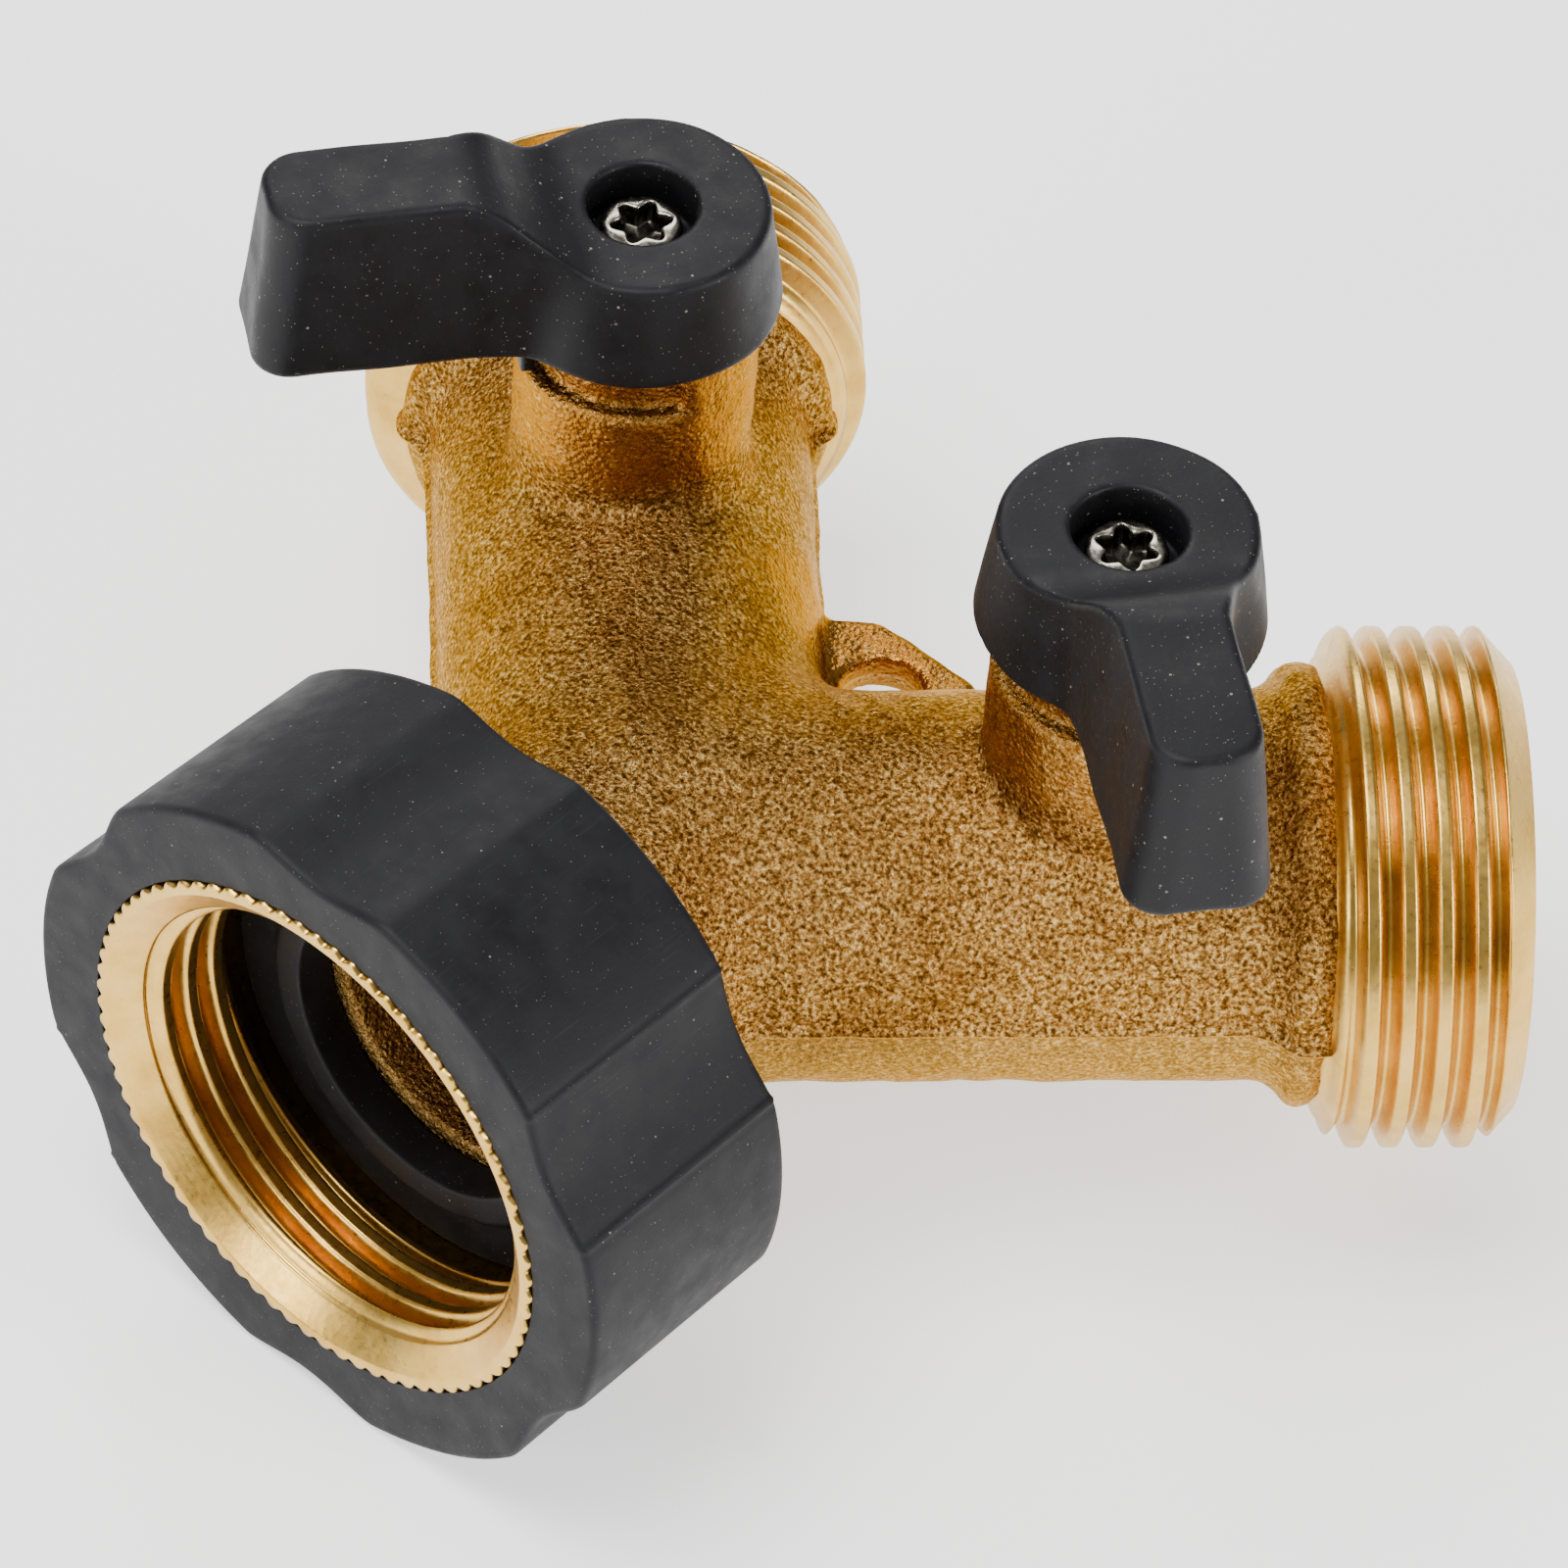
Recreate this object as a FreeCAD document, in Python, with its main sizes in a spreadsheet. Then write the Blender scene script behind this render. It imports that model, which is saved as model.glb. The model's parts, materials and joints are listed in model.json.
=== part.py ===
"""Two-way hose splitter: a cast brass Y with a swivel nut on its inlet and a ball valve in each leg.

Frame, in millimetres: +Z is up, on the side of the two handles.
The inlet's axis is the Y axis and the hose comes in from -Y.
The origin is on that axis where the full thread of the swivel nut starts.
The legs leave the junction towards +Y, one to each side, with their axes in the plane z = 0.
"""
import FreeCAD, Part
import math
import os
import re

import Sketcher
from FreeCAD import Placement, Rotation, Vector

SIZES = {
    # hose thread, nominal 3/4 inch parallel pipe thread
    "threadMajorRadius": 13.22,
    "threadDepth": 1.16,
    "threadPitch": 1.814,
    "threadLandWidth": 0.6,
    # casting
    "legAngle": 45.0,
    "legRadius": 10.0,
    "junctionDistance": 22.0,
    "neckStep": 0.4,
    "collarRadius": 11.3,
    "collarLength": 1.6,
    "collarFlare": 1.2,
    "collarGap": 0.7,
    "threadStart": 34.7,
    "outletRimLength": 1.35,
    "outletRimDepth": 1.7,
    "outletBoreRadius": 8.6,
    "legPassageRadius": 4.8,
    "inletBoreRadius": 7.4,
    # valve boss on each leg
    "bossDistance": 22.93,
    "bossRadius": 6.2,
    "bossHeight": 9.4,
    "notchDepth": 2.8,
    "notchWidth": 0.9,
    "closedSlack": 8.0,
    "openTravel": 90.0,
    "stopEase": 1.0,
    # hanging lug in the crotch
    "lugThickness": 2.5,
    "lugHalfWidth": 3.3,
    "lugHoleRadius": 2.2,
    "lugHoleInset": 3.96,
    "lugRim": 3.6,
    "lugSlope": 2.8,
    "lugCorner": 1.1,
    "lugRoot": 4.7,
    # swivel nut and its grip
    "leadInDepth": 1.9,
    "leadInWidth": 0.9,
    "leadInStep": 0.6,
    "threadRunOut": 0.77,
    "nutWall": 1.7,
    "nutWallBack": 4.2,
    "washerPocketLength": 3.1,
    "washerPocketGap": 0.2,
    "tailRadius": 9.6,
    "snapRingRadius": 0.55,
    "snapRingInset": 2.1,
    "snapRingGap": 3.0,
    "gripThickness": 4.15,
    "gripSetback": 0.2,
    "gripScallopRadius": 8.0,
    "gripScallopDepth": 1.1,
    "hoseWasherBore": 8.2,
    "hoseWasherThickness": 2.4,
    "hoseWasherLip": 0.7,
    "hoseWasherLipWidth": 1.6,
    "hoseWasherLipSlope": 0.6,
    # ball, seats and retainer
    "ballRadius": 6.6,
    "ballBoreRadius": 4.0,
    "ballSlotWidth": 2.4,
    "ballWeb": 0.5,
    "chamberGap": 0.6,
    "seatBoreStep": 0.2,
    "seatGrip": 2.7,
    "seatThickness": 2.5,
    "retainerLength": 3.6,
    "retainerBoreRadius": 4.7,
    "retainerSlotWidth": 1.6,
    "retainerSlotDepth": 1.2,
    # stem
    "stemRadius": 3.0,
    "stemFlangeWidth": 0.7,
    "stemFlangeThickness": 1.1,
    "thrustWasherThickness": 0.5,
    "stemDriveStep": 1.0,
    "stemBladeRoot": 0.2,
    "bladeClearance": 0.9,
    "stemRise": 2.5,
    "oRingSection": 1.2,
    "oRingDepth": 2.4,
    "oRingSpacing": 2.2,
    # handle
    "headHeight": 6.1,
    "headOverhang": 0.3,
    "headDraft": 0.8,
    "armRise": 3.6,
    "armTopHalf": 2.75,
    "armDraft": 0.95,
    "armTipDraft": 0.95,
    "armTipCorner": 2.1,
    "armSetOut": 1.9,
    "rampRun": 4.2,
    "armRun": 11.8,
    "armWall": 1.3,
    "armRoof": 2.2,
    "fanOverlap": 1.2,
    "fanWaist": 4.6,
    "fanHalfWidth": 6.0,
    "fanWaistHalf": 4.4,
    "tabHalfWidth": 2.2,
    "tabOverhang": 0.15,
    "tabRoot": 0.5,
    # screw in the handle
    "screwWellGap": 0.76,
    "screwHeadRadius": 2.1,
    "screwHeadThickness": 1.5,
    "screwSink": 2.8,
    "screwShankRadius": 1.45,
    "screwLength": 8.3,
    "screwLobeRadius": 0.34,
    "screwLobeReach": 1.01,
    "screwRecessDepth": 0.9,
    "screwEdge": 0.3,
    # how far each handle stands from square to its leg, towards open
    "leftRestAngle": 9.0,
    "rightRestAngle": -7.5,
    # fits
    "runningFit": 0.1,
    "looseFit": 0.3,
    "slipFit": 0.05,
    # how far a cutting tool passes beyond what it cuts
    "overcut": 1.0,
}

LAND_COUNT_OUTLET = 5
LAND_COUNT_NUT = 3
GRIP_LOBES = 6
SCREW_LOBES = 6

# Sizes that follow from others: each is a sum of the names in its tuple, less those with a minus.
FOLLOWING = {
    "outletEnd": (
        "threadStart", *["threadPitch"] * (LAND_COUNT_OUTLET - 1), "threadLandWidth", "outletRimLength"),
    "washerPocketStart": (*["threadPitch"] * (LAND_COUNT_NUT - 1), "threadLandWidth", "threadRunOut"),
    "leadInEndRadius": ("threadMajorRadius", "-leadInStep"),
    "threadMinorRadius": ("threadMajorRadius", "-threadDepth"),
    "neckRadius": ("legRadius", "neckStep"),
    "collarEnd": ("threadStart", "-collarGap"),
    "collarStart": ("collarEnd", "-collarLength"),
    "outletRimRadius": ("threadMajorRadius", "-outletRimDepth"),
    "bossTop": ("legRadius", "bossHeight"),
    "notchFloor": ("bossTop", "-notchDepth"),
    "notchCoreRadius": ("bossRadius", "-notchWidth"),
    "leadInRadius": ("threadMajorRadius", "leadInWidth"),
    "nutRadius": ("threadMajorRadius", "nutWall"),
    "gripRadius": ("nutRadius", "gripThickness"),
    "nutShoulder": ("washerPocketStart", "washerPocketLength"),
    "nutBack": ("nutShoulder", "nutWallBack"),
    "snapRingPlace": ("nutShoulder", "snapRingInset"),
    "washerPocketRadius": ("threadMajorRadius", "washerPocketGap"),
    "hoseWasherRadius": ("threadMajorRadius", "-washerPocketGap"),
    "nutBore": ("tailRadius", "runningFit"),
    "ringHalf": ("snapRingRadius", "runningFit"),
    "tailEnd": ("nutShoulder", "runningFit"),
    "neckFace": ("nutBack", "looseFit"),
    "ballSlotFloor": ("ballBoreRadius", "ballWeb"),
    "chamberRadius": ("ballRadius", "chamberGap"),
    "seatRadius": ("chamberRadius", "-slipFit"),
    "seatBoreRadius": ("ballBoreRadius", "seatBoreStep"),
    "seatFront": ("ballRadius", "-seatGrip"),
    "bladeReach": ("seatFront", "-bladeClearance"),
    "seatBack": ("seatFront", "seatThickness"),
    "chamberStart": ("bossDistance", "-seatBack"),
    "retainerPlace": ("bossDistance", "seatBack"),
    "chamberEnd": ("retainerPlace", "retainerLength"),
    "stemFlangeFloor": ("chamberRadius", "looseFit"),
    "stemFlangeTop": ("stemFlangeFloor", "stemFlangeThickness"),
    "stemFlangeRadius": ("stemRadius", "stemFlangeWidth"),
    "stemPocketTop": ("stemFlangeTop", "thrustWasherThickness", "runningFit"),
    "stemTop": ("bossTop", "stemRise"),
    "lowerRingPlace": ("stemPocketTop", "oRingDepth"),
    "upperRingPlace": ("lowerRingPlace", "oRingSpacing"),
    "handleFloor": ("bossTop", "looseFit"),
    "headTop": ("handleFloor", "headHeight"),
    "armTop": ("headTop", "armRise"),
    "tabInner": ("notchCoreRadius", "looseFit"),
    "tabFloor": ("notchFloor", "looseFit"),
    "screwSeat": ("headTop", "-screwSink"),
    "screwHeadTop": ("screwSeat", "screwHeadThickness"),
    "screwEnd": ("screwSeat", "-screwLength"),
    "screwHoleFloor": ("screwEnd", "-looseFit"),
    "lugShoulderHalf": ("lugHalfWidth", "lugSlope"),
    "lugReach": ("lugRoot", "lugHoleInset", "lugRim"),
    "lugShoulder": ("lugReach", "-lugSlope"),
    "headTopRadius": ("bossRadius", "headOverhang"),
    "armStart": ("headTopRadius", "armSetOut"),
    "armLength": ("armStart", "armRun"),
    "fanReach": ("armStart", "fanOverlap"),
    "tabOuterRadius": ("bossRadius", "tabOverhang"),
    "screwWellRadius": ("screwHeadRadius", "screwWellGap"),
    "stemDriveWidth": ("stemRadius", "stemDriveStep"),
    "stemShoulder": ("notchFloor", "looseFit"),
}

doc = FreeCAD.newDocument("hose_splitter")
sheet = doc.addObject("Spreadsheet::Sheet", "Sizes")


def fillSheet():
    for row, (alias, value) in enumerate(SIZES.items(), start=1):
        sheet.set(f"A{row}", alias)
        sheet.set(f"B{row}", str(value))
        sheet.setAlias(f"B{row}", alias)
    doc.recompute()


def size(name):
    """The value, in millimetres or degrees, of a size in the sheet or of one that follows from others."""
    if name in FOLLOWING:
        return sum(-size(term[1:]) if term[0] == "-" else size(term) for term in FOLLOWING[name])
    return float(sheet.get(name))


def cellNames(match):
    """One size's name as the sheet knows it, or the sum that it follows from."""
    name = match.group()
    if name not in FOLLOWING:
        return "Sizes." + name
    terms = [re.sub(r"[A-Za-z]\w*", cellNames, term) for term in FOLLOWING[name]]
    return "(" + " + ".join(terms).replace("+ -", "- ") + ")"


def bound(text):
    """An expression for the document, from plain size names."""
    return re.sub(r"[A-Za-z]\w*", cellNames, text)


def originPlane(body, role):
    """The body's own base plane that has this role."""
    return next(f for f in body.Origin.OriginFeatures if f.Role == role)


def newBody(name):
    body = doc.addObject("PartDesign::Body", name)
    body.Label = name
    return body


def bindVertex(sketch, index, across, along):
    """Hold the start of line `index` at two distances from the sketch's axes, each a size or zero."""
    if across == "0":
        sketch.addConstraint(Sketcher.Constraint("PointOnObject", index, 1, -2))
    else:
        number = sketch.addConstraint(Sketcher.Constraint("DistanceX", -1, 1, index, 1, 1.0 + index))
        sketch.setExpression(f"Constraints[{number}]", bound(across))
    if along == "0":
        sketch.addConstraint(Sketcher.Constraint("PointOnObject", index, 1, -1))
    else:
        number = sketch.addConstraint(Sketcher.Constraint("DistanceY", -1, 1, index, 1, 1.0 + index))
        sketch.setExpression(f"Constraints[{number}]", bound(along))


def polygonSketch(body, name, role, corners):
    """A closed polygon whose corners are pairs of expressions in the sheet's sizes."""
    sketch = body.newObject("Sketcher::SketchObject", name)
    sketch.AttachmentSupport = [(originPlane(body, role), "")]
    sketch.MapMode = "FlatFace"
    count = len(corners)
    turn = 2 * math.pi / count
    spots = [Vector(20 + 10 * math.cos(i * turn), 20 + 10 * math.sin(i * turn), 0) for i in range(count)]
    for i in range(count):
        sketch.addGeometry(Part.LineSegment(spots[i], spots[(i + 1) % count]), False)
    for i in range(count):
        sketch.addConstraint(Sketcher.Constraint("Coincident", i, 2, (i + 1) % count, 1))
    for i, (across, along) in enumerate(corners):
        bindVertex(sketch, i, across, along)
    return sketch


def turnedBody(name, corners):
    """A solid turned about its own Z axis from a profile of (radius, height) corners."""
    body = newBody(name)
    sketch = polygonSketch(body, name + "_profile", "XZ_Plane", corners)
    turned = body.newObject("PartDesign::Revolution", name + "_turned")
    turned.Profile = sketch
    turned.ReferenceAxis = (sketch, ["V_Axis"])
    turned.Angle = 360
    sketch.Visibility = False
    doc.recompute()
    return body


def primitive(kind, name, **expressions):
    shape = doc.addObject(kind, name)
    for prop, expression in expressions.items():
        shape.setExpression(prop, bound(expression))
    return shape


def cylinder(name, radius, height, at=Placement()):
    made = primitive("Part::Cylinder", name, Radius=radius, Height=height)
    made.Placement = at
    return made


def box(name, length, width, height, at=Placement()):
    made = primitive("Part::Box", name, Length=length, Width=width, Height=height)
    made.Placement = at
    return made


def cut(name, base, tool):
    made = doc.addObject("Part::Cut", name)
    made.Base = base
    made.Tool = tool
    made.Label = name
    return made


def fuse(name, shapes):
    made = doc.addObject("Part::MultiFuse", name)
    made.Shapes = shapes
    made.Refine = True
    made.Label = name
    return made


def lift(height, turn=0.0, across=0.0, along=0.0):
    """A place on a vertical axis: turned about it, then raised."""
    return Placement(Vector(across, along, height), Rotation(Vector(0, 0, 1), turn))


# Each side: its name, the sign of its x, and the size that says how its handle stands.
SIDES = (
    {"name": "left", "sign": -1, "rest": "leftRestAngle"},
    {"name": "right", "sign": 1, "rest": "rightRestAngle"},
)


def legDirection(side):
    angle = math.radians(size("legAngle"))
    return Vector(side["sign"] * math.sin(angle), math.cos(angle), 0)


def junction():
    return Vector(0, size("junctionDistance"), 0)


def alongLeg(side, distance):
    """A place on the leg's axis whose Z axis runs along the leg towards its outlet."""
    direction = legDirection(side)
    return Placement(junction() + direction * distance, Rotation(Vector(0, 0, 1), direction))


def closedHeading(side):
    """The compass angle, in degrees from +X, that the handle points at when it stands square to the leg."""
    return -size("legAngle") if side["sign"] > 0 else 180 + size("legAngle")


def openingSense(side):
    return -side["sign"]


def bossPlace(side, turn=0.0):
    """The valve's axis: Z is up, and X points out along the handle at `turn` degrees from closed."""
    heading = closedHeading(side) + openingSense(side) * turn
    spot = junction() + legDirection(side) * size("bossDistance")
    return Placement(spot, Rotation(Vector(0, 0, 1), heading))


def restPlace(side):
    return bossPlace(side, size(side["rest"]))


def inletPlace(distance):
    """A place on the inlet's axis whose Z axis runs inwards along it."""
    return Placement(Vector(0, distance, 0), Rotation(Vector(0, 0, 1), Vector(0, 1, 0)))


# ---- casting ----------------------------------------------------------------

def threadLands(start, crest, root, count):
    """Corners of flat-topped ridges: each land is one pitch from the last, with a V between."""
    corners = []
    for i in range(count):
        near = f"{start} + {i} * threadPitch"
        far = f"{near} + threadLandWidth"
        corners += [(crest, near), (crest, far)]
        if i < count - 1:
            middle = f"{start} + {i} * threadPitch + (threadPitch + threadLandWidth) / 2"
            corners += [(root, middle)]
    return corners


def legBlank(side):
    """The outside of one leg, from the junction to the end of its hose thread."""
    corners = [
        ("0", "0"),
        ("legRadius", "0"),
        ("legRadius", "collarStart - collarFlare"),
        ("collarRadius", "collarStart"),
        ("collarRadius", "collarEnd"),
    ]
    corners += threadLands("threadStart", "threadMajorRadius", "threadMinorRadius", LAND_COUNT_OUTLET)
    corners += [("outletRimRadius", "outletEnd"), ("0", "outletEnd")]
    body = turnedBody(side["name"] + "_leg_blank", corners)
    body.Placement = alongLeg(side, 0)
    return body


def legBore(side):
    """Everything that is bored out of one leg: passage, ball chamber and outlet."""
    corners = [
        ("0", "0"),
        ("legPassageRadius", "0"),
        ("legPassageRadius", "chamberStart"),
        ("chamberRadius", "chamberStart"),
        ("chamberRadius", "chamberEnd"),
        ("outletBoreRadius", "chamberEnd + outletBoreRadius - chamberRadius"),
        ("outletBoreRadius", "outletEnd + overcut"),
        ("0", "outletEnd + overcut"),
    ]
    body = turnedBody(side["name"] + "_leg_bore", corners)
    body.Placement = alongLeg(side, 0)
    return body


def stemBore(side):
    """The hole for the stem, with the pocket for its flange above the ball."""
    name = side["name"]
    pocketRadius = "stemFlangeRadius + runningFit"
    shaftRadius = "stemRadius + runningFit"
    body = turnedBody(name + "_stem_bore", [
        ("0", "0"),
        (pocketRadius, "0"),
        (pocketRadius, "stemPocketTop"),
        (shaftRadius, "stemPocketTop"),
        (shaftRadius, "bossTop + overcut"),
        ("0", "bossTop + overcut"),
    ])
    body.Placement = bossPlace(side)
    return body


def stopAngle():
    """Half the angle that the handle's tab takes up, plus a little so that it stops just short."""
    return math.degrees(math.atan2(size("tabHalfWidth"), size("tabInner"))) + size("stopEase")


def stopNotch(side):
    """The step round the top of the boss that the handle's tab travels in."""
    name = side["name"]
    sweep = size("closedSlack") + size("openTravel") + 2 * stopAngle()
    ring = doc.addObject("Part::Cylinder", name + "_notch_outer")
    ring.setExpression("Radius", bound("bossRadius + overcut"))
    ring.setExpression("Height", bound("notchDepth + overcut"))
    ring.Angle = sweep
    core = cylinder(name + "_notch_core", "notchCoreRadius", "notchDepth + overcut")
    notch = cut(name + "_notch", ring, core)
    first = -size("closedSlack") - stopAngle()
    last = size("openTravel") + stopAngle()
    start = min(openingSense(side) * first, openingSense(side) * last)
    place = bossPlace(side)
    turn = closedHeading(side) + start
    notch.Placement = lift(size("notchFloor"), turn, place.Base.x, place.Base.y)
    return notch


def crotch():
    """How far from the junction, along +Y, the outsides of the two legs meet."""
    return size("legRadius") / math.sin(math.radians(size("legAngle")))


def lugPlate():
    """The flat web in the crotch, with its two outer corners rounded."""
    body = newBody("lug_plate")
    sketch = polygonSketch(body, "lug_outline", "XY_Plane", [
        ("lugShoulderHalf - lugHalfWidth", "lugReach"),
        ("lugShoulderHalf + lugHalfWidth", "lugReach"),
        ("2 * lugShoulderHalf", "lugShoulder"),
        ("lugShoulderHalf", "0"),
        ("0", "lugShoulder"),
    ])
    pad = body.newObject("PartDesign::Pad", "lug_pad")
    pad.Profile = sketch
    pad.setExpression("Length", bound("lugThickness"))
    pad.Midplane = True
    sketch.Visibility = False
    doc.recompute()
    tolerance = 0.01
    outer = []
    for i, edge in enumerate(pad.Shape.Edges):
        upright = edge.BoundBox.ZLength > size("lugThickness") / 2
        if upright and abs(edge.BoundBox.YMin - size("lugReach")) < tolerance:
            outer.append(f"Edge{i + 1}")
    fillet = body.newObject("PartDesign::Fillet", "lug_corners")
    fillet.Base = (pad, outer)
    fillet.setExpression("Radius", bound("lugCorner"))
    body.Tip = fillet
    foot = size("junctionDistance") + crotch() - size("lugRoot")
    body.Placement = Placement(Vector(-size("lugShoulderHalf"), foot, 0), Rotation())
    return body


def neckBlank():
    """The round inlet: the tail that the nut turns on, with its groove, and the thicker neck behind it."""
    body = turnedBody("neck_blank", [
        ("0", "0"),
        ("tailRadius", "0"),
        ("tailRadius", "snapRingPlace - ringHalf - tailEnd"),
        ("tailRadius - ringHalf", "snapRingPlace - ringHalf - tailEnd"),
        ("tailRadius - ringHalf", "snapRingPlace + ringHalf - tailEnd"),
        ("tailRadius", "snapRingPlace + ringHalf - tailEnd"),
        ("tailRadius", "neckFace - tailEnd"),
        ("neckRadius", "neckFace - tailEnd"),
        ("neckRadius", "junctionDistance - tailEnd"),
        ("0", "junctionDistance - tailEnd"),
    ])
    body.Placement = inletPlace(size("tailEnd"))
    return body


def makeCasting():
    solids = [neckBlank(), lugPlate()]
    tools = []
    ball = primitive("Part::Sphere", "junction_outside", Radius="neckRadius")
    ball.Placement = Placement(junction(), Rotation())
    solids.append(ball)
    for side in SIDES:
        name = side["name"]
        boss = cylinder(name + "_boss", "bossRadius", "bossTop", bossPlace(side))
        solids += [legBlank(side), boss]
        tools += [legBore(side), stemBore(side), stopNotch(side)]
    inlet = cylinder("inlet_bore", "inletBoreRadius", "junctionDistance", inletPlace(0))
    hollow = primitive("Part::Sphere", "junction_hollow", Radius="inletBoreRadius")
    hollow.Placement = Placement(junction(), Rotation())
    hangAlong = size("junctionDistance") + crotch() + size("lugHoleInset")
    hang = cylinder("lug_hole", "lugHoleRadius", "2 * lugThickness",
                    lift(-size("lugThickness"), 0, 0, hangAlong))
    tools += [inlet, hollow, hang]
    return cut("valve_body", fuse("casting_outside", solids), fuse("casting_bores", tools))


# ---- inlet nut --------------------------------------------------------------

def makeNut():
    """Turned from its mouth inwards: lead-in, hose thread, washer pocket, and the wall behind it."""
    start = "leadInDepth"
    corners = [
        ("nutRadius", "0"),
        ("leadInRadius", "0"),
        ("leadInEndRadius", f"{start} - threadPitch / 4"),
    ]
    corners += threadLands(start, "threadMinorRadius", "threadMajorRadius", LAND_COUNT_NUT)
    corners += [
        ("washerPocketRadius", f"{start} + washerPocketStart"),
        ("washerPocketRadius", f"{start} + nutShoulder"),
        ("nutBore", f"{start} + nutShoulder"),
        ("nutBore", f"{start} + snapRingPlace - ringHalf"),
        ("tailRadius + ringHalf", f"{start} + snapRingPlace - ringHalf"),
        ("tailRadius + ringHalf", f"{start} + snapRingPlace + ringHalf"),
        ("nutBore", f"{start} + snapRingPlace + ringHalf"),
        ("nutBore", f"{start} + nutBack"),
        ("nutRadius", f"{start} + nutBack"),
    ]
    body = turnedBody("swivel_nut", corners)
    body.Placement = inletPlace(-size("leadInDepth"))
    return body


def makeGrip():
    """A rubber sleeve with six broad lobes, and a hollow run along its length between each two."""
    length = "nutBack + leadInDepth - gripSetback"
    sleeve = cylinder("grip_sleeve", "gripRadius", length)
    tools = [cylinder("grip_bore", "nutRadius", length)]
    centre = size("gripRadius") - size("gripScallopDepth") + size("gripScallopRadius")
    for i in range(GRIP_LOBES):
        angle = math.radians((i + 0.5) * 360 / GRIP_LOBES)
        spot = Vector(centre * math.cos(angle), centre * math.sin(angle), 0)
        place = Placement(spot, Rotation())
        tools.append(cylinder(f"grip_scallop_{i + 1}", "gripScallopRadius", length, place))
    grip = cut("nut_grip", sleeve, fuse("grip_cuts", tools))
    grip.Placement = inletPlace(size("gripSetback") - size("leadInDepth"))
    return grip


def makeHoseWasher():
    """A flat rubber washer whose inner part is stepped up towards the hose."""
    body = turnedBody("hose_washer", [
        ("hoseWasherBore", "0"),
        ("hoseWasherBore + hoseWasherLipWidth", "0"),
        ("hoseWasherBore + hoseWasherLipWidth + hoseWasherLipSlope", "hoseWasherLip"),
        ("hoseWasherRadius", "hoseWasherLip"),
        ("hoseWasherRadius", "hoseWasherThickness"),
        ("hoseWasherBore", "hoseWasherThickness"),
    ])
    body.Placement = inletPlace(size("nutShoulder") - size("hoseWasherThickness"))
    return body


def makeSnapRing():
    """A split ring of round wire that holds the nut on the tail."""
    ring = primitive("Part::Torus", "snap_ring_wire", Radius1="tailRadius", Radius2="snapRingRadius")
    gap = box("snap_ring_gap", "2 * tailRadius", "snapRingGap", "4 * snapRingRadius",
              lift(-2 * size("snapRingRadius"), 0, 0, -size("snapRingGap") / 2))
    split = cut("nut_snap_ring", ring, gap)
    split.Placement = inletPlace(size("snapRingPlace"))
    return split


# ---- ball valve -------------------------------------------------------------

def makeSeat(side, place, outward):
    """A plastic ring with a round hollow that the ball turns against."""
    name = f"{side['name']}_{place}_seat"
    ring = turnedBody(name + "_ring", [
        ("seatBoreRadius", "seatFront"),
        ("seatRadius", "seatFront"),
        ("seatRadius", "seatBack"),
        ("seatBoreRadius", "seatBack"),
    ])
    hollow = primitive("Part::Sphere", name + "_hollow", Radius="ballRadius + slipFit")
    seat = cut(name, ring, hollow)
    direction = legDirection(side) * outward
    centre = junction() + legDirection(side) * size("bossDistance")
    seat.Placement = Placement(centre, Rotation(Vector(0, 0, 1), direction))
    return seat


def makeRetainer(side):
    """A ring screwed in behind the outer seat, with two slots for the key that tightens it."""
    name = side["name"] + "_seat_retainer"
    ring = turnedBody(name + "_ring", [
        ("retainerBoreRadius", "0"),
        ("seatRadius", "0"),
        ("seatRadius", "retainerLength"),
        ("retainerBoreRadius", "retainerLength"),
    ])
    slot = box(name + "_slot", "4 * chamberRadius", "retainerSlotWidth", "2 * retainerSlotDepth",
               lift(size("retainerLength") - size("retainerSlotDepth"), 0,
                    -2 * size("chamberRadius"), -size("retainerSlotWidth") / 2))
    made = cut(name, ring, slot)
    made.Placement = alongLeg(side, size("retainerPlace"))
    return made


def makeBall(side):
    """The bore lies along the handle, and the slot for the stem lies across it."""
    name = side["name"] + "_ball"
    sphere = primitive("Part::Sphere", name + "_sphere", Radius="ballRadius")
    across = Placement(Vector(-2 * size("ballRadius"), 0, 0), Rotation(Vector(0, 0, 1), Vector(1, 0, 0)))
    bore = cylinder(name + "_bore", "ballBoreRadius", "4 * ballRadius", across)
    slot = box(name + "_slot", "ballSlotWidth", "4 * ballRadius", "ballRadius",
               lift(size("ballSlotFloor"), 0, -size("ballSlotWidth") / 2, -2 * size("ballRadius")))
    ball = cut(name, sphere, fuse(name + "_cuts", [bore, slot]))
    ball.Placement = restPlace(side)
    return ball


def ringGroove(height):
    """Three sides of an O-ring groove in the stem, centred at this height."""
    half = "(oRingSection / 2 + slipFit)"
    floor = "stemRadius - oRingSection + slipFit"
    return [
        ("stemRadius", f"{height} - {half}"),
        (floor, f"{height} - {half}"),
        (floor, f"{height} + {half}"),
        ("stemRadius", f"{height} + {half}"),
    ]


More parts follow.
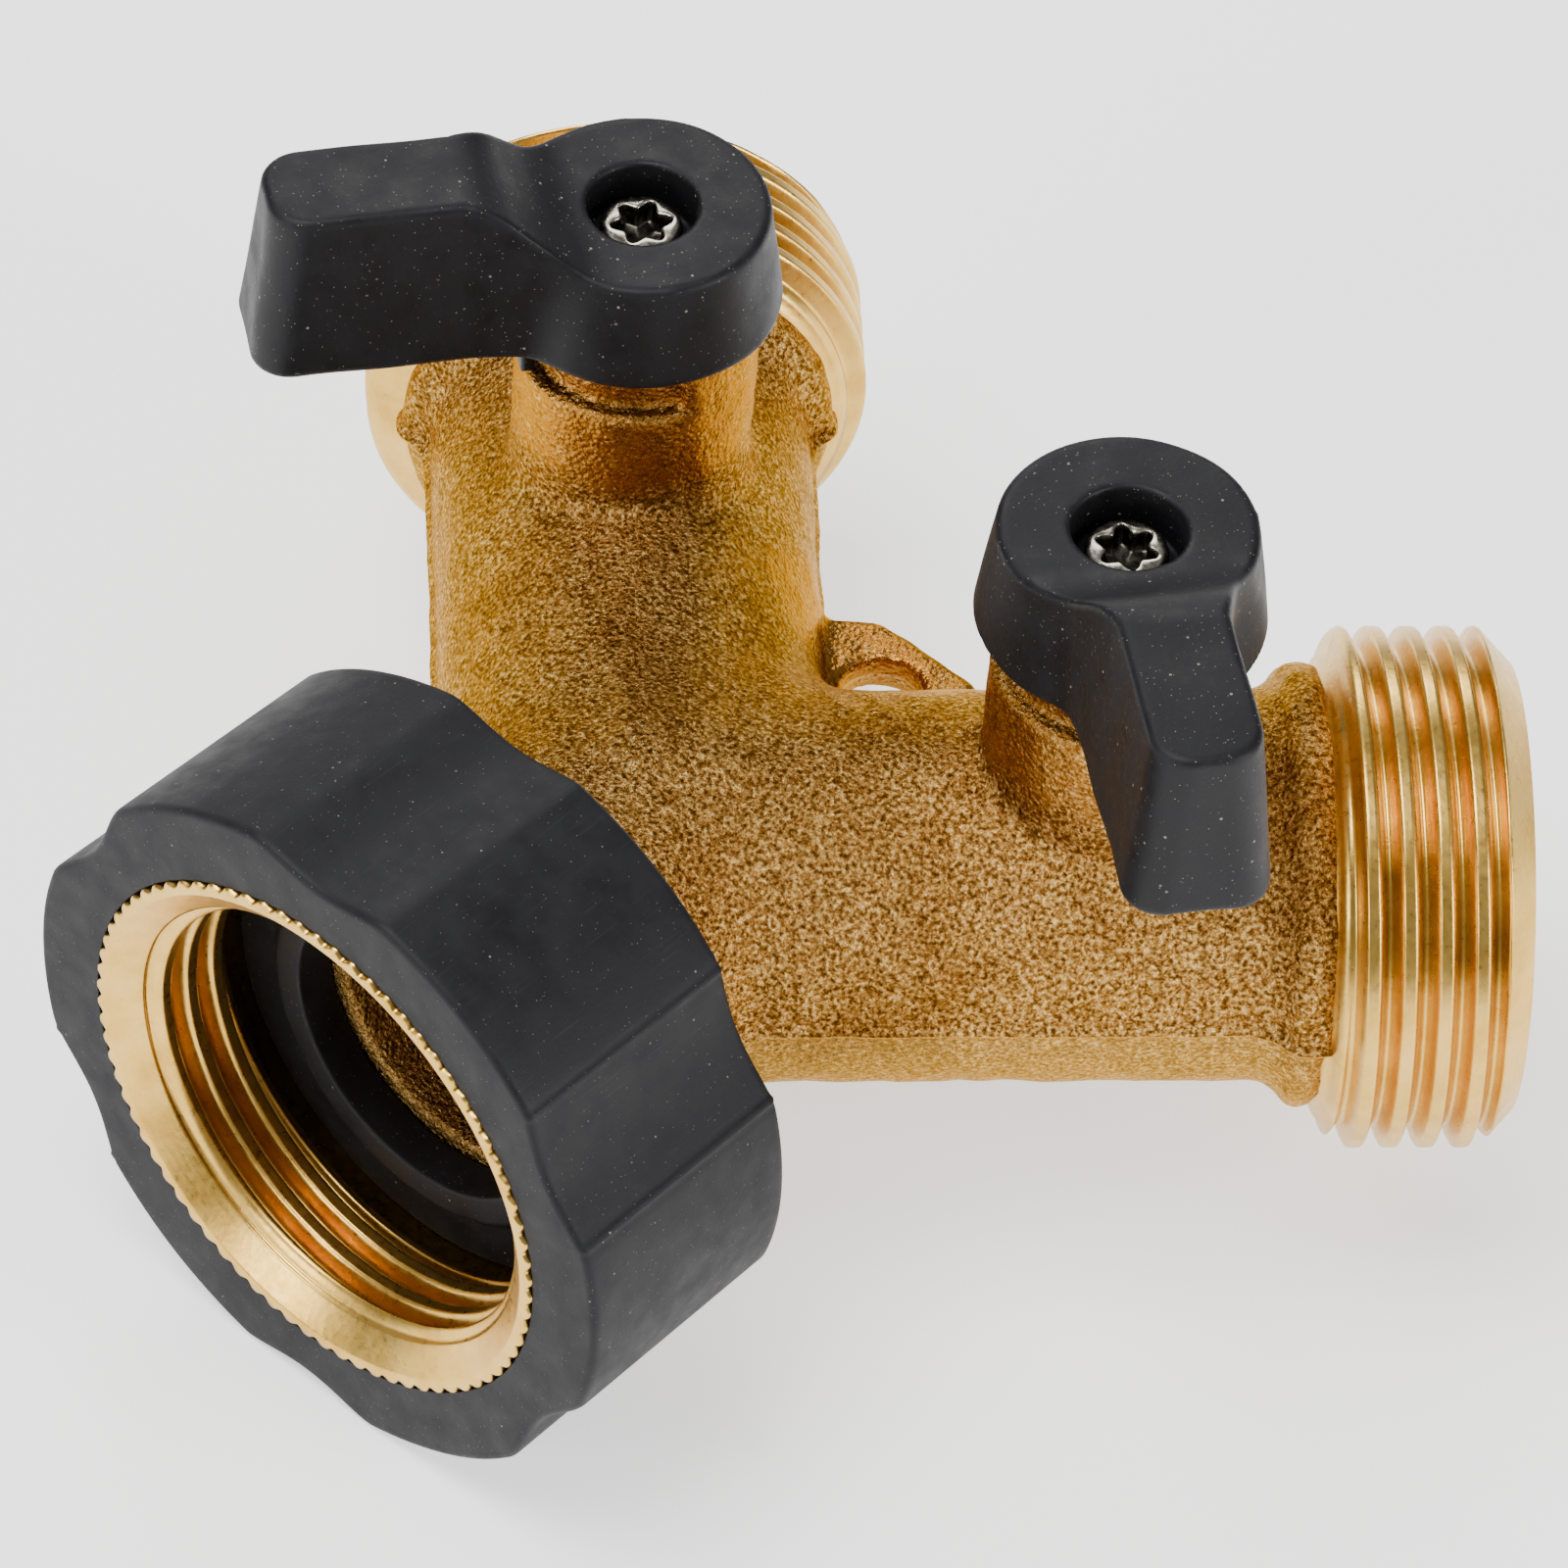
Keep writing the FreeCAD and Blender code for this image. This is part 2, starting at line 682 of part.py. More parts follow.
def makeStem(side):
    """A round stem: blade in the ball's slot, flange that can't be blown out, two grooves, square top."""
    name = side["name"] + "_stem"
    shaft = turnedBody(name + "_shaft", [
        ("0", "stemFlangeFloor"),
        ("stemFlangeRadius", "stemFlangeFloor"),
        ("stemFlangeRadius", "stemFlangeTop"),
        ("stemRadius", "stemFlangeTop"),
        *ringGroove("lowerRingPlace"),
        *ringGroove("upperRingPlace"),
        ("stemRadius", "stemShoulder"),
        ("0", "stemShoulder"),
    ])
    bladeWidth = "ballSlotWidth - 2 * slipFit"
    slotOffset = size("slipFit") - size("ballSlotWidth") / 2
    blade = box(name + "_blade", bladeWidth, "2 * bladeReach",
                "stemFlangeFloor + stemBladeRoot - ballSlotFloor",
                lift(size("ballSlotFloor") + size("slipFit"), 0, slotOffset, -size("bladeReach")))
    drive = box(name + "_drive", "stemDriveWidth", "stemDriveWidth",
                "stemTop - notchFloor",
                lift(size("notchFloor"), 0, -size("stemDriveWidth") / 2, -size("stemDriveWidth") / 2))
    tapped = cylinder(name + "_tapped_hole", "screwShankRadius + slipFit",
                      "stemTop - screwHoleFloor + overcut", lift(size("screwHoleFloor")))
    stem = cut(name, fuse(name + "_solid", [shaft, blade, drive]), tapped)
    stem.Placement = restPlace(side)
    return stem


def makeRing(side, place, height):
    """A rubber O-ring in its groove."""
    name = f"{side['name']}_{place}_o_ring"
    ring = primitive("Part::Torus", name, Radius2="oRingSection / 2",
                     Radius1="stemRadius - oRingSection / 2 + slipFit")
    ring.Label = name
    spot = restPlace(side)
    ring.Placement = Placement(spot.Base + Vector(0, 0, size(height)), spot.Rotation)
    return ring


def makeThrustWasher(side):
    name = side["name"] + "_thrust_washer"
    washer = turnedBody(name, [
        ("stemRadius + slipFit", "0"),
        ("stemFlangeRadius", "0"),
        ("stemFlangeRadius", "thrustWasherThickness"),
        ("stemRadius + slipFit", "thrustWasherThickness"),
    ])
    spot = restPlace(side)
    washer.Placement = Placement(spot.Base + Vector(0, 0, size("stemFlangeTop")), spot.Rotation)
    return washer


# ---- handle -----------------------------------------------------------------

def draftedArm(name):
    """The arm: a webbed bar that narrows as it rises, and whose top ramps down to the round head."""
    floor = size("handleFloor")
    top = size("armTop")
    half = size("armTopHalf")
    lower = roundedBar(size("armLength"), half + size("armDraft"), floor)
    upper = roundedBar(size("armLength") - size("armTipDraft"), half, top)
    bar = Part.makeLoft([lower, upper], True, True).fuse(fanWeb())
    wide = 2 * size("headTopRadius")
    rampFoot = size("armStart") - size("rampRun")
    roof = top + size("armRoof")
    above = Part.Face(Part.makePolygon([
        Vector(-wide, -wide, size("headTop")),
        Vector(rampFoot, -wide, size("headTop")),
        Vector(size("armStart"), -wide, top),
        Vector(size("armStart"), -wide, roof),
        Vector(-wide, -wide, roof),
        Vector(-wide, -wide, size("headTop")),
    ])).extrude(Vector(0, 2 * wide, 0))
    arm = doc.addObject("Part::Feature", name)
    arm.Shape = bar.cut(above)
    return arm


def roundedBar(end, half, height):
    """A bar's outline at one height, from the valve's axis out to its tip, with the tip's corners rounded."""
    corner = size("armTipCorner")
    slant = corner * math.sqrt(0.5)
    outer = end - corner
    inner = half - corner
    near = [Vector(0, -half, height), Vector(outer, -half, height)]
    tip = [Vector(end, -inner, height), Vector(end, inner, height)]
    far = [Vector(outer, half, height), Vector(0, half, height)]
    nearMiddle = Vector(outer + slant, -inner - slant, height)
    farMiddle = Vector(outer + slant, inner + slant, height)
    edges = [
        Part.LineSegment(near[0], near[1]).toShape(),
        Part.Arc(near[1], nearMiddle, tip[0]).toShape(),
        Part.LineSegment(tip[0], tip[1]).toShape(),
        Part.Arc(tip[1], farMiddle, far[0]).toShape(),
        Part.LineSegment(far[0], far[1]).toShape(),
        Part.LineSegment(far[1], near[0]).toShape(),
    ]
    return Part.Wire(edges)


def fanWeb():
    """The webs that run from the round head out to the arm, each side hollowed in one arc."""
    lower = fanOutline(size("armTopHalf") + size("armDraft"), size("handleFloor"))
    upper = fanOutline(size("armTopHalf"), size("armTop"))
    return Part.makeLoft([lower, upper], True, True)


def fanOutline(end, height):
    """The webs' outline at one height, as wide as the arm where it meets the arm."""
    near = [Vector(0, -size("fanHalfWidth"), height), Vector(size("fanWaist"), -size("fanWaistHalf"), height),
            Vector(size("fanReach"), -end, height)]
    far = [Vector(spot.x, -spot.y, height) for spot in near]
    edges = [
        Part.Arc(*near).toShape(),
        Part.LineSegment(near[2], far[2]).toShape(),
        Part.Arc(far[2], far[1], far[0]).toShape(),
        Part.LineSegment(far[0], near[0]).toShape(),
    ]
    return Part.Wire(edges)


def makeHandle(side):
    name = side["name"] + "_handle"
    head = primitive("Part::Cone", name + "_head", Radius1="headTopRadius + headDraft",
                     Radius2="headTopRadius", Height="headHeight")
    head.Placement = lift(size("handleFloor"))
    tab = box(name + "_tab", "tabOuterRadius - tabInner", "2 * tabHalfWidth", "notchDepth + tabRoot",
              lift(size("tabFloor"), 0, size("tabInner"), -size("tabHalfWidth")))
    solid = fuse(name + "_solid", [head, draftedArm(name + "_arm"), tab])
    well = cylinder(name + "_well", "screwWellRadius", "screwSink + armRise + overcut",
                    lift(size("screwSeat")))
    shank = cylinder(name + "_shank_hole", "screwShankRadius + slipFit", "screwSeat - bossTop",
                     lift(size("bossTop")))
    socketSide = "stemDriveWidth + 2 * slipFit"
    offset = -size("stemDriveWidth") / 2 - size("slipFit")
    socket = box(name + "_socket", socketSide, socketSide, "stemRise + slipFit + overcut",
                 lift(size("bossTop") - size("overcut"), 0, offset, offset))
    core = box(name + "_core", "armLength - armStart - 2 * armWall",
               "2 * armTopHalf - 2 * armWall", "armTop - armRoof - bossTop",
               lift(size("bossTop"), 0, size("armStart") + size("armWall") / 2,
                    size("armWall") - size("armTopHalf")))
    handle = cut(name, solid, fuse(name + "_cuts", [well, shank, socket, core]))
    handle.Placement = restPlace(side)
    return handle


def makeScrew(side):
    """A low round-headed screw with a six-lobed recess."""
    name = side["name"] + "_handle_screw"
    body = turnedBody(name + "_blank", [
        ("0", "screwEnd"),
        ("screwShankRadius - screwEdge", "screwEnd"),
        ("screwShankRadius", "screwEnd + screwEdge"),
        ("screwShankRadius", "screwSeat"),
        ("screwHeadRadius", "screwSeat"),
        ("screwHeadRadius", "screwHeadTop - screwEdge"),
        ("screwHeadRadius - screwEdge", "screwHeadTop"),
        ("0", "screwHeadTop"),
    ])
    floor = size("screwHeadTop") - size("screwRecessDepth")
    depth = "2 * screwRecessDepth"
    lobes = [cylinder(name + "_recess_core", "screwLobeReach", depth, lift(floor))]
    for i in range(SCREW_LOBES):
        angle = 2 * math.pi * i / SCREW_LOBES
        spot = Vector(math.cos(angle), math.sin(angle), 0) * size("screwLobeReach") + Vector(0, 0, floor)
        lobes.append(cylinder(f"{name}_lobe_{i + 1}", "screwLobeRadius", depth, Placement(spot, Rotation())))
    screw = cut(name, body, fuse(name + "_recess", lobes))
    screw.Placement = restPlace(side)
    return screw


# ---- the whole ---------------------------------------------------------------

def makeAll():
    parts = [makeCasting(), makeNut(), makeGrip(), makeHoseWasher(), makeSnapRing()]
    for side in SIDES:
        parts += [
            makeSeat(side, "inner", -1),
            makeSeat(side, "outer", 1),
            makeRetainer(side),
            makeBall(side),
            makeStem(side),
            makeRing(side, "lower", "lowerRingPlace"),
            makeRing(side, "upper", "upperRingPlace"),
            makeThrustWasher(side),
            makeHandle(side),
            makeScrew(side),
        ]
    return parts


def checkAll(parts):
    """Stop before writing anything if a feature failed or a piece isn't one valid solid."""
    for obj in doc.Objects:
        if "Invalid" in obj.State or "Error" in obj.State:
            raise RuntimeError(f"{obj.Name} failed: {obj.State}")
    for part in parts:
        shape = part.Shape
        if shape.isNull() or not shape.isValid() or len(shape.Solids) != 1:
            raise RuntimeError(f"{part.Label} isn't one valid solid")


def writeAll(parts):
    os.makedirs("parts", exist_ok=True)
    for part in parts:
        part.Shape.exportStep(f"parts/{part.Label}.step")
        print(f"{part.Label}: {part.Shape.Volume:.1f} mm3")


fillSheet()
allParts = makeAll()
doc.recompute()
checkAll(allParts)
writeAll(allParts)
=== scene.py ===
import json
import math

import bpy
import numpy as np
from mathutils import Matrix, Vector


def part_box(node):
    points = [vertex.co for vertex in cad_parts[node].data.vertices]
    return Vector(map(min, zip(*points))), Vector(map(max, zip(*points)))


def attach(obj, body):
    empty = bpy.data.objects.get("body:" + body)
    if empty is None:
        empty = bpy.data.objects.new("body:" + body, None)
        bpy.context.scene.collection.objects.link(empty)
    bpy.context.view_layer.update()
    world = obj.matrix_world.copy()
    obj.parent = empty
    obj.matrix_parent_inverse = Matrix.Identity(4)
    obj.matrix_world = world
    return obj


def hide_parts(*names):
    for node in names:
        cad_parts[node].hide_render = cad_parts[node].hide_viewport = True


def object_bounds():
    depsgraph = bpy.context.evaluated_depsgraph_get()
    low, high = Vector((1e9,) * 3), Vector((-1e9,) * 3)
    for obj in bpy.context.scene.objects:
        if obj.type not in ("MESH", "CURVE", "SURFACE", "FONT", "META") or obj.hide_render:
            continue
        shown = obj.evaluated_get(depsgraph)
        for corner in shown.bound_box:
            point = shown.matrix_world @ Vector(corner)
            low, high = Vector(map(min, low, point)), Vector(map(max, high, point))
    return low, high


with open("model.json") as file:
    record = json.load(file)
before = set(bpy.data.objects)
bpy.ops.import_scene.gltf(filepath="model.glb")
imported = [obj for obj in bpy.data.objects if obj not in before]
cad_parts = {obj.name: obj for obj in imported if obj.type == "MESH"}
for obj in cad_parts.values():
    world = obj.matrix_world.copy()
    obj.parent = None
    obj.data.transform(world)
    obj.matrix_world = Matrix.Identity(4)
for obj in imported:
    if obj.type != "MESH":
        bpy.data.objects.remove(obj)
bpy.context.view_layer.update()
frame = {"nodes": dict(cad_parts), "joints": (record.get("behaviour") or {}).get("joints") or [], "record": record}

mm = 0.001
record = frame["record"]
joints = {joint["name"]: joint for joint in frame["joints"]}
mounts = {mount["name"]: mount for mount in record["mounts"]}
print("frame loaded:", len(frame["nodes"]), "nodes")

# Lengths below are in millimetres and angles in degrees, unless a line says otherwise.

layout = {
    "legAngle": 45.0,
    "closedToOpen": 90.0,
}


def unit(vector):
    return np.asarray(vector, float) / np.linalg.norm(vector)


# what each side's pieces need: the leg's direction, the valve's axis and where the handle points
def sideFacts(name, sign):
    joint = joints[name + "_handle_turn"]
    valve = np.array(joint["pos_m"]) / mm
    mount = mounts[name + "_outlet_thread"]
    along = unit(mount["axis"])
    closed = -layout["legAngle"] if sign > 0 else 180 + layout["legAngle"]
    opening = -sign
    rest = layout["closedToOpen"] - joint["range_deg"][1]
    return {
        "name": name,
        "valve": valve,
        "along": along,
        "closed": closed,
        "opening": opening,
        "heading": math.radians(closed + opening * rest),
        "threadStart": np.array(mount["pos_m"]) / mm - along * mount["dims"]["length_mm"],
    }


sides = [sideFacts("left", -1), sideFacts("right", 1)]
rightValve, rightAlong = sides[1]["valve"], sides[1]["along"]
junction = rightValve - rightAlong * rightValve[0] / rightAlong[0]     # where the legs' axes cross the inlet's
for side in sides:
    side["valveAlong"] = (side["valve"] - junction) @ side["along"]


# a mesh object from points in millimetres and faces, put at the origin and smooth shaded
def meshPiece(name, points, faces, smooth=True):
    mesh = bpy.data.meshes.new(name)
    faces = faces if isinstance(faces, list) else faces.tolist()
    mesh.from_pydata((np.asarray(points, float) * mm).tolist(), [], faces)
    mesh.validate()
    mesh.polygons.foreach_set("use_smooth", np.full(len(mesh.polygons), smooth))
    mesh.update()
    piece = bpy.data.objects.new(name, mesh)
    bpy.context.scene.collection.objects.link(piece)
    return piece


# quads of a grid of rows by columns that closes on itself in both directions, or only along its columns
def gridQuads(rows, columns, closedRows):
    row = np.arange(rows if closedRows else rows - 1)[:, None]
    column = np.arange(columns)[None, :]
    nextRow = (row + 1) % rows
    nextColumn = (column + 1) % columns
    corners = [row * columns + column, row * columns + nextColumn,
               nextRow * columns + nextColumn, nextRow * columns + column]
    return np.stack([np.broadcast_to(c, (row.size, columns)) for c in corners], -1).reshape(-1, 4)


# a frame whose third axis is the given direction
def axesAlong(direction, up=(0, 0, 1)):
    third = unit(direction)
    first = unit(np.cross(up, third))
    return np.stack([first, np.cross(third, first), third])


# a closed profile carried round an axis: radius and height are arrays of profile step by angle step
def turnedPiece(name, radius, height, origin, axes):
    rows, columns = radius.shape
    angle = np.arange(columns) * 2 * np.pi / columns
    local = np.stack([radius * np.cos(angle), radius * np.sin(angle), height], -1)
    points = origin + local.reshape(-1, 3) @ axes
    return meshPiece(name, points, gridQuads(rows, columns, True))


# a polygon's corners rounded: each corner becomes a short curve between two points set back along its sides
def roundedLoop(corners, setBack, steps=4):
    corners = np.asarray(corners, float)
    before = np.roll(corners, 1, 0) - corners
    after = np.roll(corners, -1, 0) - corners
    beforeLength = np.linalg.norm(before, axis=1, keepdims=True)
    afterLength = np.linalg.norm(after, axis=1, keepdims=True)
    back = np.broadcast_to(np.asarray(setBack, float), (len(corners),))[:, None]
    start = corners + before / beforeLength * np.minimum(back, 0.45 * beforeLength)
    end = corners + after / afterLength * np.minimum(back, 0.45 * afterLength)
    share = np.linspace(0, 1, steps + 1)[None, :, None]
    curve = (1 - share) ** 2 * start[:, None] + 2 * share * (1 - share) * corners[:, None]
    curve = curve + share ** 2 * end[:, None]
    return curve.reshape(-1, 2)


def smoothStep(value, low, high):
    share = np.clip((value - low) / (high - low), 0, 1)
    return share * share * (3 - 2 * share)


def blendMin(first, second, width):
    share = np.clip(0.5 + 0.5 * (second - first) / width, 0, 1)
    return second + (first - second) * share - width * share * (1 - share)


def blendMax(first, second, width):
    return -blendMin(-first, -second, width)


# smooth random waves: a sum of many sines whose directions and phases are drawn once
def waveNoise(points, wavelength, count, seed):
    draw = np.random.default_rng(seed)
    directions = draw.normal(size=(count, 3))
    directions /= np.linalg.norm(directions, axis=1, keepdims=True)
    rates = 2 * np.pi / (wavelength * draw.uniform(0.7, 1.5, count))
    phases = draw.uniform(0, 2 * np.pi, count)
    total = np.zeros(len(points))
    for direction, rate, phase in zip(directions, rates, phases):
        total += np.sin(points @ direction * rate + phase)
    return total / math.sqrt(count / 2)


# The skin of a field: one point in each grid cell that the skin crosses, at the mean of the crossings on its
# edges, one quad round each crossed edge, and then two steps of each point down the field's slope.
def fieldPiece(name, field, low, high, step):
    low = np.asarray(low, float) - 1.5 * step
    counts = np.ceil((np.asarray(high) + 1.5 * step - low) / step).astype(int) + 1
    axes = [low[i] + step * np.arange(counts[i]) for i in range(3)]
    plane = np.stack(np.meshgrid(axes[1], axes[2], indexing="ij"), -1).reshape(-1, 2)
    values = np.empty(counts)
    for i, x in enumerate(axes[0]):
        points = np.column_stack([np.full(len(plane), x), plane])
        values[i] = field(points).reshape(counts[1:])
    inside = values < 0
    cells = counts - 1
    hits = np.zeros(cells)
    sums = np.zeros((*cells, 3))
    crossings = []
    for axis in range(3):
        one, two = [(1, 2), (2, 0), (0, 1)][axis]
        head = [slice(None)] * 3
        tail = [slice(None)] * 3
        head[axis], tail[axis] = slice(0, -1), slice(1, None)
        head, tail = tuple(head), tuple(tail)
        crossed = inside[head] != inside[tail]
        crossings.append((axis, one, two, crossed, inside[head]))
        where = np.argwhere(crossed)
        first = values[head][crossed]
        share = first / (first - values[tail][crossed])
        place = where.astype(float)
        place[:, axis] += share
        for shiftOne in (0, 1):
            for shiftTwo in (0, 1):
                cell = where.copy()
                cell[:, one] -= shiftOne
                cell[:, two] -= shiftTwo
                good = ((cell >= 0) & (cell < cells)).all(1)
                index = tuple(cell[good].T)
                np.add.at(hits, index, 1)
                np.add.at(sums, index, place[good])
    active = hits > 0
    ids = np.full(cells, -1)
    ids[active] = np.arange(active.sum())
    points = low + step * sums[active] / hits[active][:, None]
    quads = []
    for axis, one, two, crossed, startInside in crossings:
        where = np.argwhere(crossed)
        ring = []
        for shiftOne, shiftTwo in ((1, 1), (0, 1), (0, 0), (1, 0)):
            cell = where.copy()
            cell[:, one] -= shiftOne
            cell[:, two] -= shiftTwo
            ring.append(ids[tuple(cell.T)])
        ring = np.stack(ring, -1)
        outward = startInside[crossed]
        quads.append(np.where(outward[:, None], ring, ring[:, ::-1]))
    small = 0.05 * step
    for _ in range(2):
        here = field(points)
        slope = np.stack([field(points + small * np.eye(3)[i]) - here for i in range(3)], -1) / small
        move = slope * (here / np.maximum((slope ** 2).sum(1), 0.2))[:, None]
        length = np.linalg.norm(move, axis=1, keepdims=True)
        points = points - move * np.minimum(1, 0.5 * step / np.maximum(length, 1e-9))
    return meshPiece(name, points, np.vstack(quads))


def newMaterial(name):
    material = bpy.data.materials.new(name)
    material.use_nodes = True
    nodes = material.node_tree.nodes
    shader = nodes["Principled BSDF"]
    return material, nodes, material.node_tree.links, shader


def addNode(nodes, kind, **settings):
    node = nodes.new(kind)
    for key, value in settings.items():
        if key in node.inputs:
            node.inputs[key].default_value = value
        else:
            setattr(node, key, value)
    return node


# the object's own coordinates, turned and stretched: one unit is a millimetre times the stretch
def placedCoordinates(nodes, links, turn=(0, 0, 0), stretch=(1, 1, 1)):
    coordinates = nodes.new("ShaderNodeTexCoord")
    turned = addNode(nodes, "ShaderNodeMapping", vector_type="POINT")
    turned.inputs["Rotation"].default_value = [math.radians(a) for a in turn]
    scaled = addNode(nodes, "ShaderNodeMapping", vector_type="POINT")
    scaled.inputs["Scale"].default_value = [s / mm for s in stretch]
    links.new(coordinates.outputs["Object"], turned.inputs["Vector"])
    links.new(turned.outputs["Vector"], scaled.inputs["Vector"])
    return scaled.outputs["Vector"]


def noise(nodes, links, vector, scale, detail=3.0, rough=0.55):
    made = addNode(nodes, "ShaderNodeTexNoise", Scale=scale, Detail=detail, Roughness=rough)
    links.new(vector, made.inputs["Vector"])
    return made.outputs["Fac"]


def ramp(nodes, links, factor, stops):
    made = nodes.new("ShaderNodeValToRGB")
    elements = made.color_ramp.elements
    while len(elements) < len(stops):
        elements.new(0.5)
    for element, (position, colour) in zip(elements, stops):
        element.position = position
        element.color = (*colour, 1) if len(colour) == 3 else colour
    links.new(factor, made.inputs["Fac"])
    return made.outputs["Color"]


def rangeMap(nodes, links, value, fromLow, fromHigh, toLow, toHigh):
    made = addNode(nodes, "ShaderNodeMapRange")
    made.inputs["From Min"].default_value = fromLow
    made.inputs["From Max"].default_value = fromHigh
    made.inputs["To Min"].default_value = toLow
    made.inputs["To Max"].default_value = toHigh
    links.new(value, made.inputs["Value"])
    return made.outputs["Result"]


def mixColour(nodes, links, factor, first, second, blend="MIX"):
    made = addNode(nodes, "ShaderNodeMix", data_type="RGBA", blend_type=blend)
    if isinstance(factor, float):
        made.inputs[0].default_value = factor
    else:
        links.new(factor, made.inputs[0])
    for socket, value in ((6, first), (7, second)):
        if isinstance(value, tuple):
            made.inputs[socket].default_value = (*value, 1)
        else:
            links.new(value, made.inputs[socket])
    return made.outputs[2]


def bump(nodes, links, height, distance, strength=1.0, normal=None):
    made = addNode(nodes, "ShaderNodeBump", Strength=strength, Distance=distance * mm)
    links.new(height, made.inputs["Height"])
    if normal is not None:
        links.new(normal, made.inputs["Normal"])
    return made.outputs["Normal"]


castLook = {
    "dark": (0.105, 0.040, 0.006),
    "middle": (0.41, 0.205, 0.045),
    "light": (0.80, 0.55, 0.20),
    "seam": (0.62, 0.40, 0.13),
    "rubbed": (0.40, 0.165, 0.026),
    "grain": 4.2,              # grains to the millimetre
    "grainDepth": 0.2,
    "pebble": 3.6,
    "pebbleDepth": 0.07,
    "pitDepth": 0.12,
    "fine": 9.0,
    "coarse": 0.9,
    "blotch": 0.16,
    "roughness": (0.17, 0.38),
    "edgeTint": (1.0, 0.72, 0.34),
    "stain": ((0.32, (0.66, 0.54, 0.40)), (0.50, (0.97, 0.94, 0.88)), (0.7, (1.0, 1.0, 1.0))),
    "hollow": ((0.35, (1, 1, 1)), (0.62, (0.60, 0.52, 0.42))),
    "seamBand": ((0.0, 0.22), (0.42, 0.25), (0.47, 0.85), (0.54, 0.0)),     # over 1 mm either side of the seam
}


# Sand-cast and blasted: pebbles and grains raise it, the hollows between them are dark and the tops are rubbed
# bright. A pale seam runs at the middle height, and the rubbed attribute smooths and reddens it.
def castBrass():
    material, nodes, links, shader = newMaterial("castBrass")
    place = placedCoordinates(nodes, links)
    grain = noise(nodes, links, place, castLook["grain"], 4.0, 0.62)
    blotch = noise(nodes, links, place, castLook["blotch"], 3.0)
    coarse = noise(nodes, links, place, castLook["coarse"], 3.0, 0.6)
    fine = noise(nodes, links, place, castLook["fine"], 2.0)
    pebbles = addNode(nodes, "ShaderNodeTexVoronoi", feature="SMOOTH_F1",
                      Scale=castLook["pebble"], Smoothness=0.4)
    links.new(place, pebbles.inputs["Vector"])
    speckle = ramp(nodes, links, grain, [
        (0.38, castLook["dark"]), (0.50, castLook["middle"]), (0.63, castLook["light"])])
    tone = ramp(nodes, links, blotch, castLook["stain"])
    colour = mixColour(nodes, links, 0.9, speckle, tone, "MULTIPLY")
    hollows = ramp(nodes, links, pebbles.outputs["Distance"], castLook["hollow"])
    colour = mixColour(nodes, links, 0.8, colour, hollows, "MULTIPLY")
    rubbed = addNode(nodes, "ShaderNodeAttribute", attribute_name="rubbed").outputs["Fac"]
    patchy = addNode(nodes, "ShaderNodeMath", operation="MULTIPLY")
    links.new(rubbed, patchy.inputs[0])
    links.new(rangeMap(nodes, links, coarse, 0.38, 0.58, 0.3, 0.95), patchy.inputs[1])
    colour = mixColour(nodes, links, patchy.outputs[0], colour, castLook["rubbed"])
    parted = nodes.new("ShaderNodeSeparateXYZ")
    links.new(place, parted.inputs["Vector"])
    height = rangeMap(nodes, links, parted.outputs["Z"], -1.0, 1.0, 0.0, 1.0)
    seam = ramp(nodes, links, height, [(place, (grey, grey, grey)) for place, grey in castLook["seamBand"]])
    colour = mixColour(nodes, links, seam, colour, castLook["seam"])
    links.new(colour, shader.inputs["Base Color"])
    shader.inputs["Specular Tint"].default_value = (*castLook["edgeTint"], 1)
    shader.inputs["Metallic"].default_value = 1.0
    low, high = castLook["roughness"]
    links.new(rangeMap(nodes, links, fine, 0.3, 0.7, low, high), shader.inputs["Roughness"])
    domes = rangeMap(nodes, links, pebbles.outputs["Distance"], 0.0, 0.8, 1.0, 0.0)
    normal = bump(nodes, links, coarse, castLook["pitDepth"], 0.8)
    normal = bump(nodes, links, domes, castLook["pebbleDepth"], 0.8, normal)
    normal = bump(nodes, links, grain, castLook["grainDepth"], 1.0, normal)
    links.new(rangeMap(nodes, links, rubbed, 0.0, 1.0, 1.0, 0.3), normal.node.inputs["Strength"])
    normal = bump(nodes, links, fine, 0.03, 0.8, normal)
    links.new(normal, shader.inputs["Normal"])
    return material


turnedLook = {
    "dark": (0.58, 0.335, 0.062),
    "middle": (0.70, 0.430, 0.092),
    "light": (0.80, 0.520, 0.140),
    "toolMarks": 7.0,
    "roughness": (0.26, 0.36),
}


# Turned metal: its tool marks lie across the axis, which the turn brings onto Z.
def turnedBrass(name, turn):
    material, nodes, links, shader = newMaterial(name)
    place = placedCoordinates(nodes, links, turn)
    marks = placedCoordinates(nodes, links, turn, (0.12, 0.12, turnedLook["toolMarks"]))
    lines = noise(nodes, links, marks, 1.0, 2.0)
    tarnish = noise(nodes, links, place, 0.35, 4.0, 0.6)
    spots = noise(nodes, links, place, 2.6, 3.0)
    colour = ramp(nodes, links, tarnish, [
        (0.28, turnedLook["dark"]), (0.46, turnedLook["middle"]), (0.7, turnedLook["light"])])
    spotted = ramp(nodes, links, spots, [(0.25, (0.45, 0.34, 0.24)), (0.33, (1.0, 1.0, 1.0))])
    links.new(mixColour(nodes, links, 0.5, colour, spotted, "MULTIPLY"), shader.inputs["Base Color"])
    shader.inputs["Metallic"].default_value = 1.0
    low, high = turnedLook["roughness"]
    links.new(rangeMap(nodes, links, spots, 0.3, 0.7, low, high), shader.inputs["Roughness"])
    normal = bump(nodes, links, lines, 0.012, 0.5)
    normal = bump(nodes, links, spots, 0.02, 0.5, normal)
    links.new(normal, shader.inputs["Normal"])
    return material


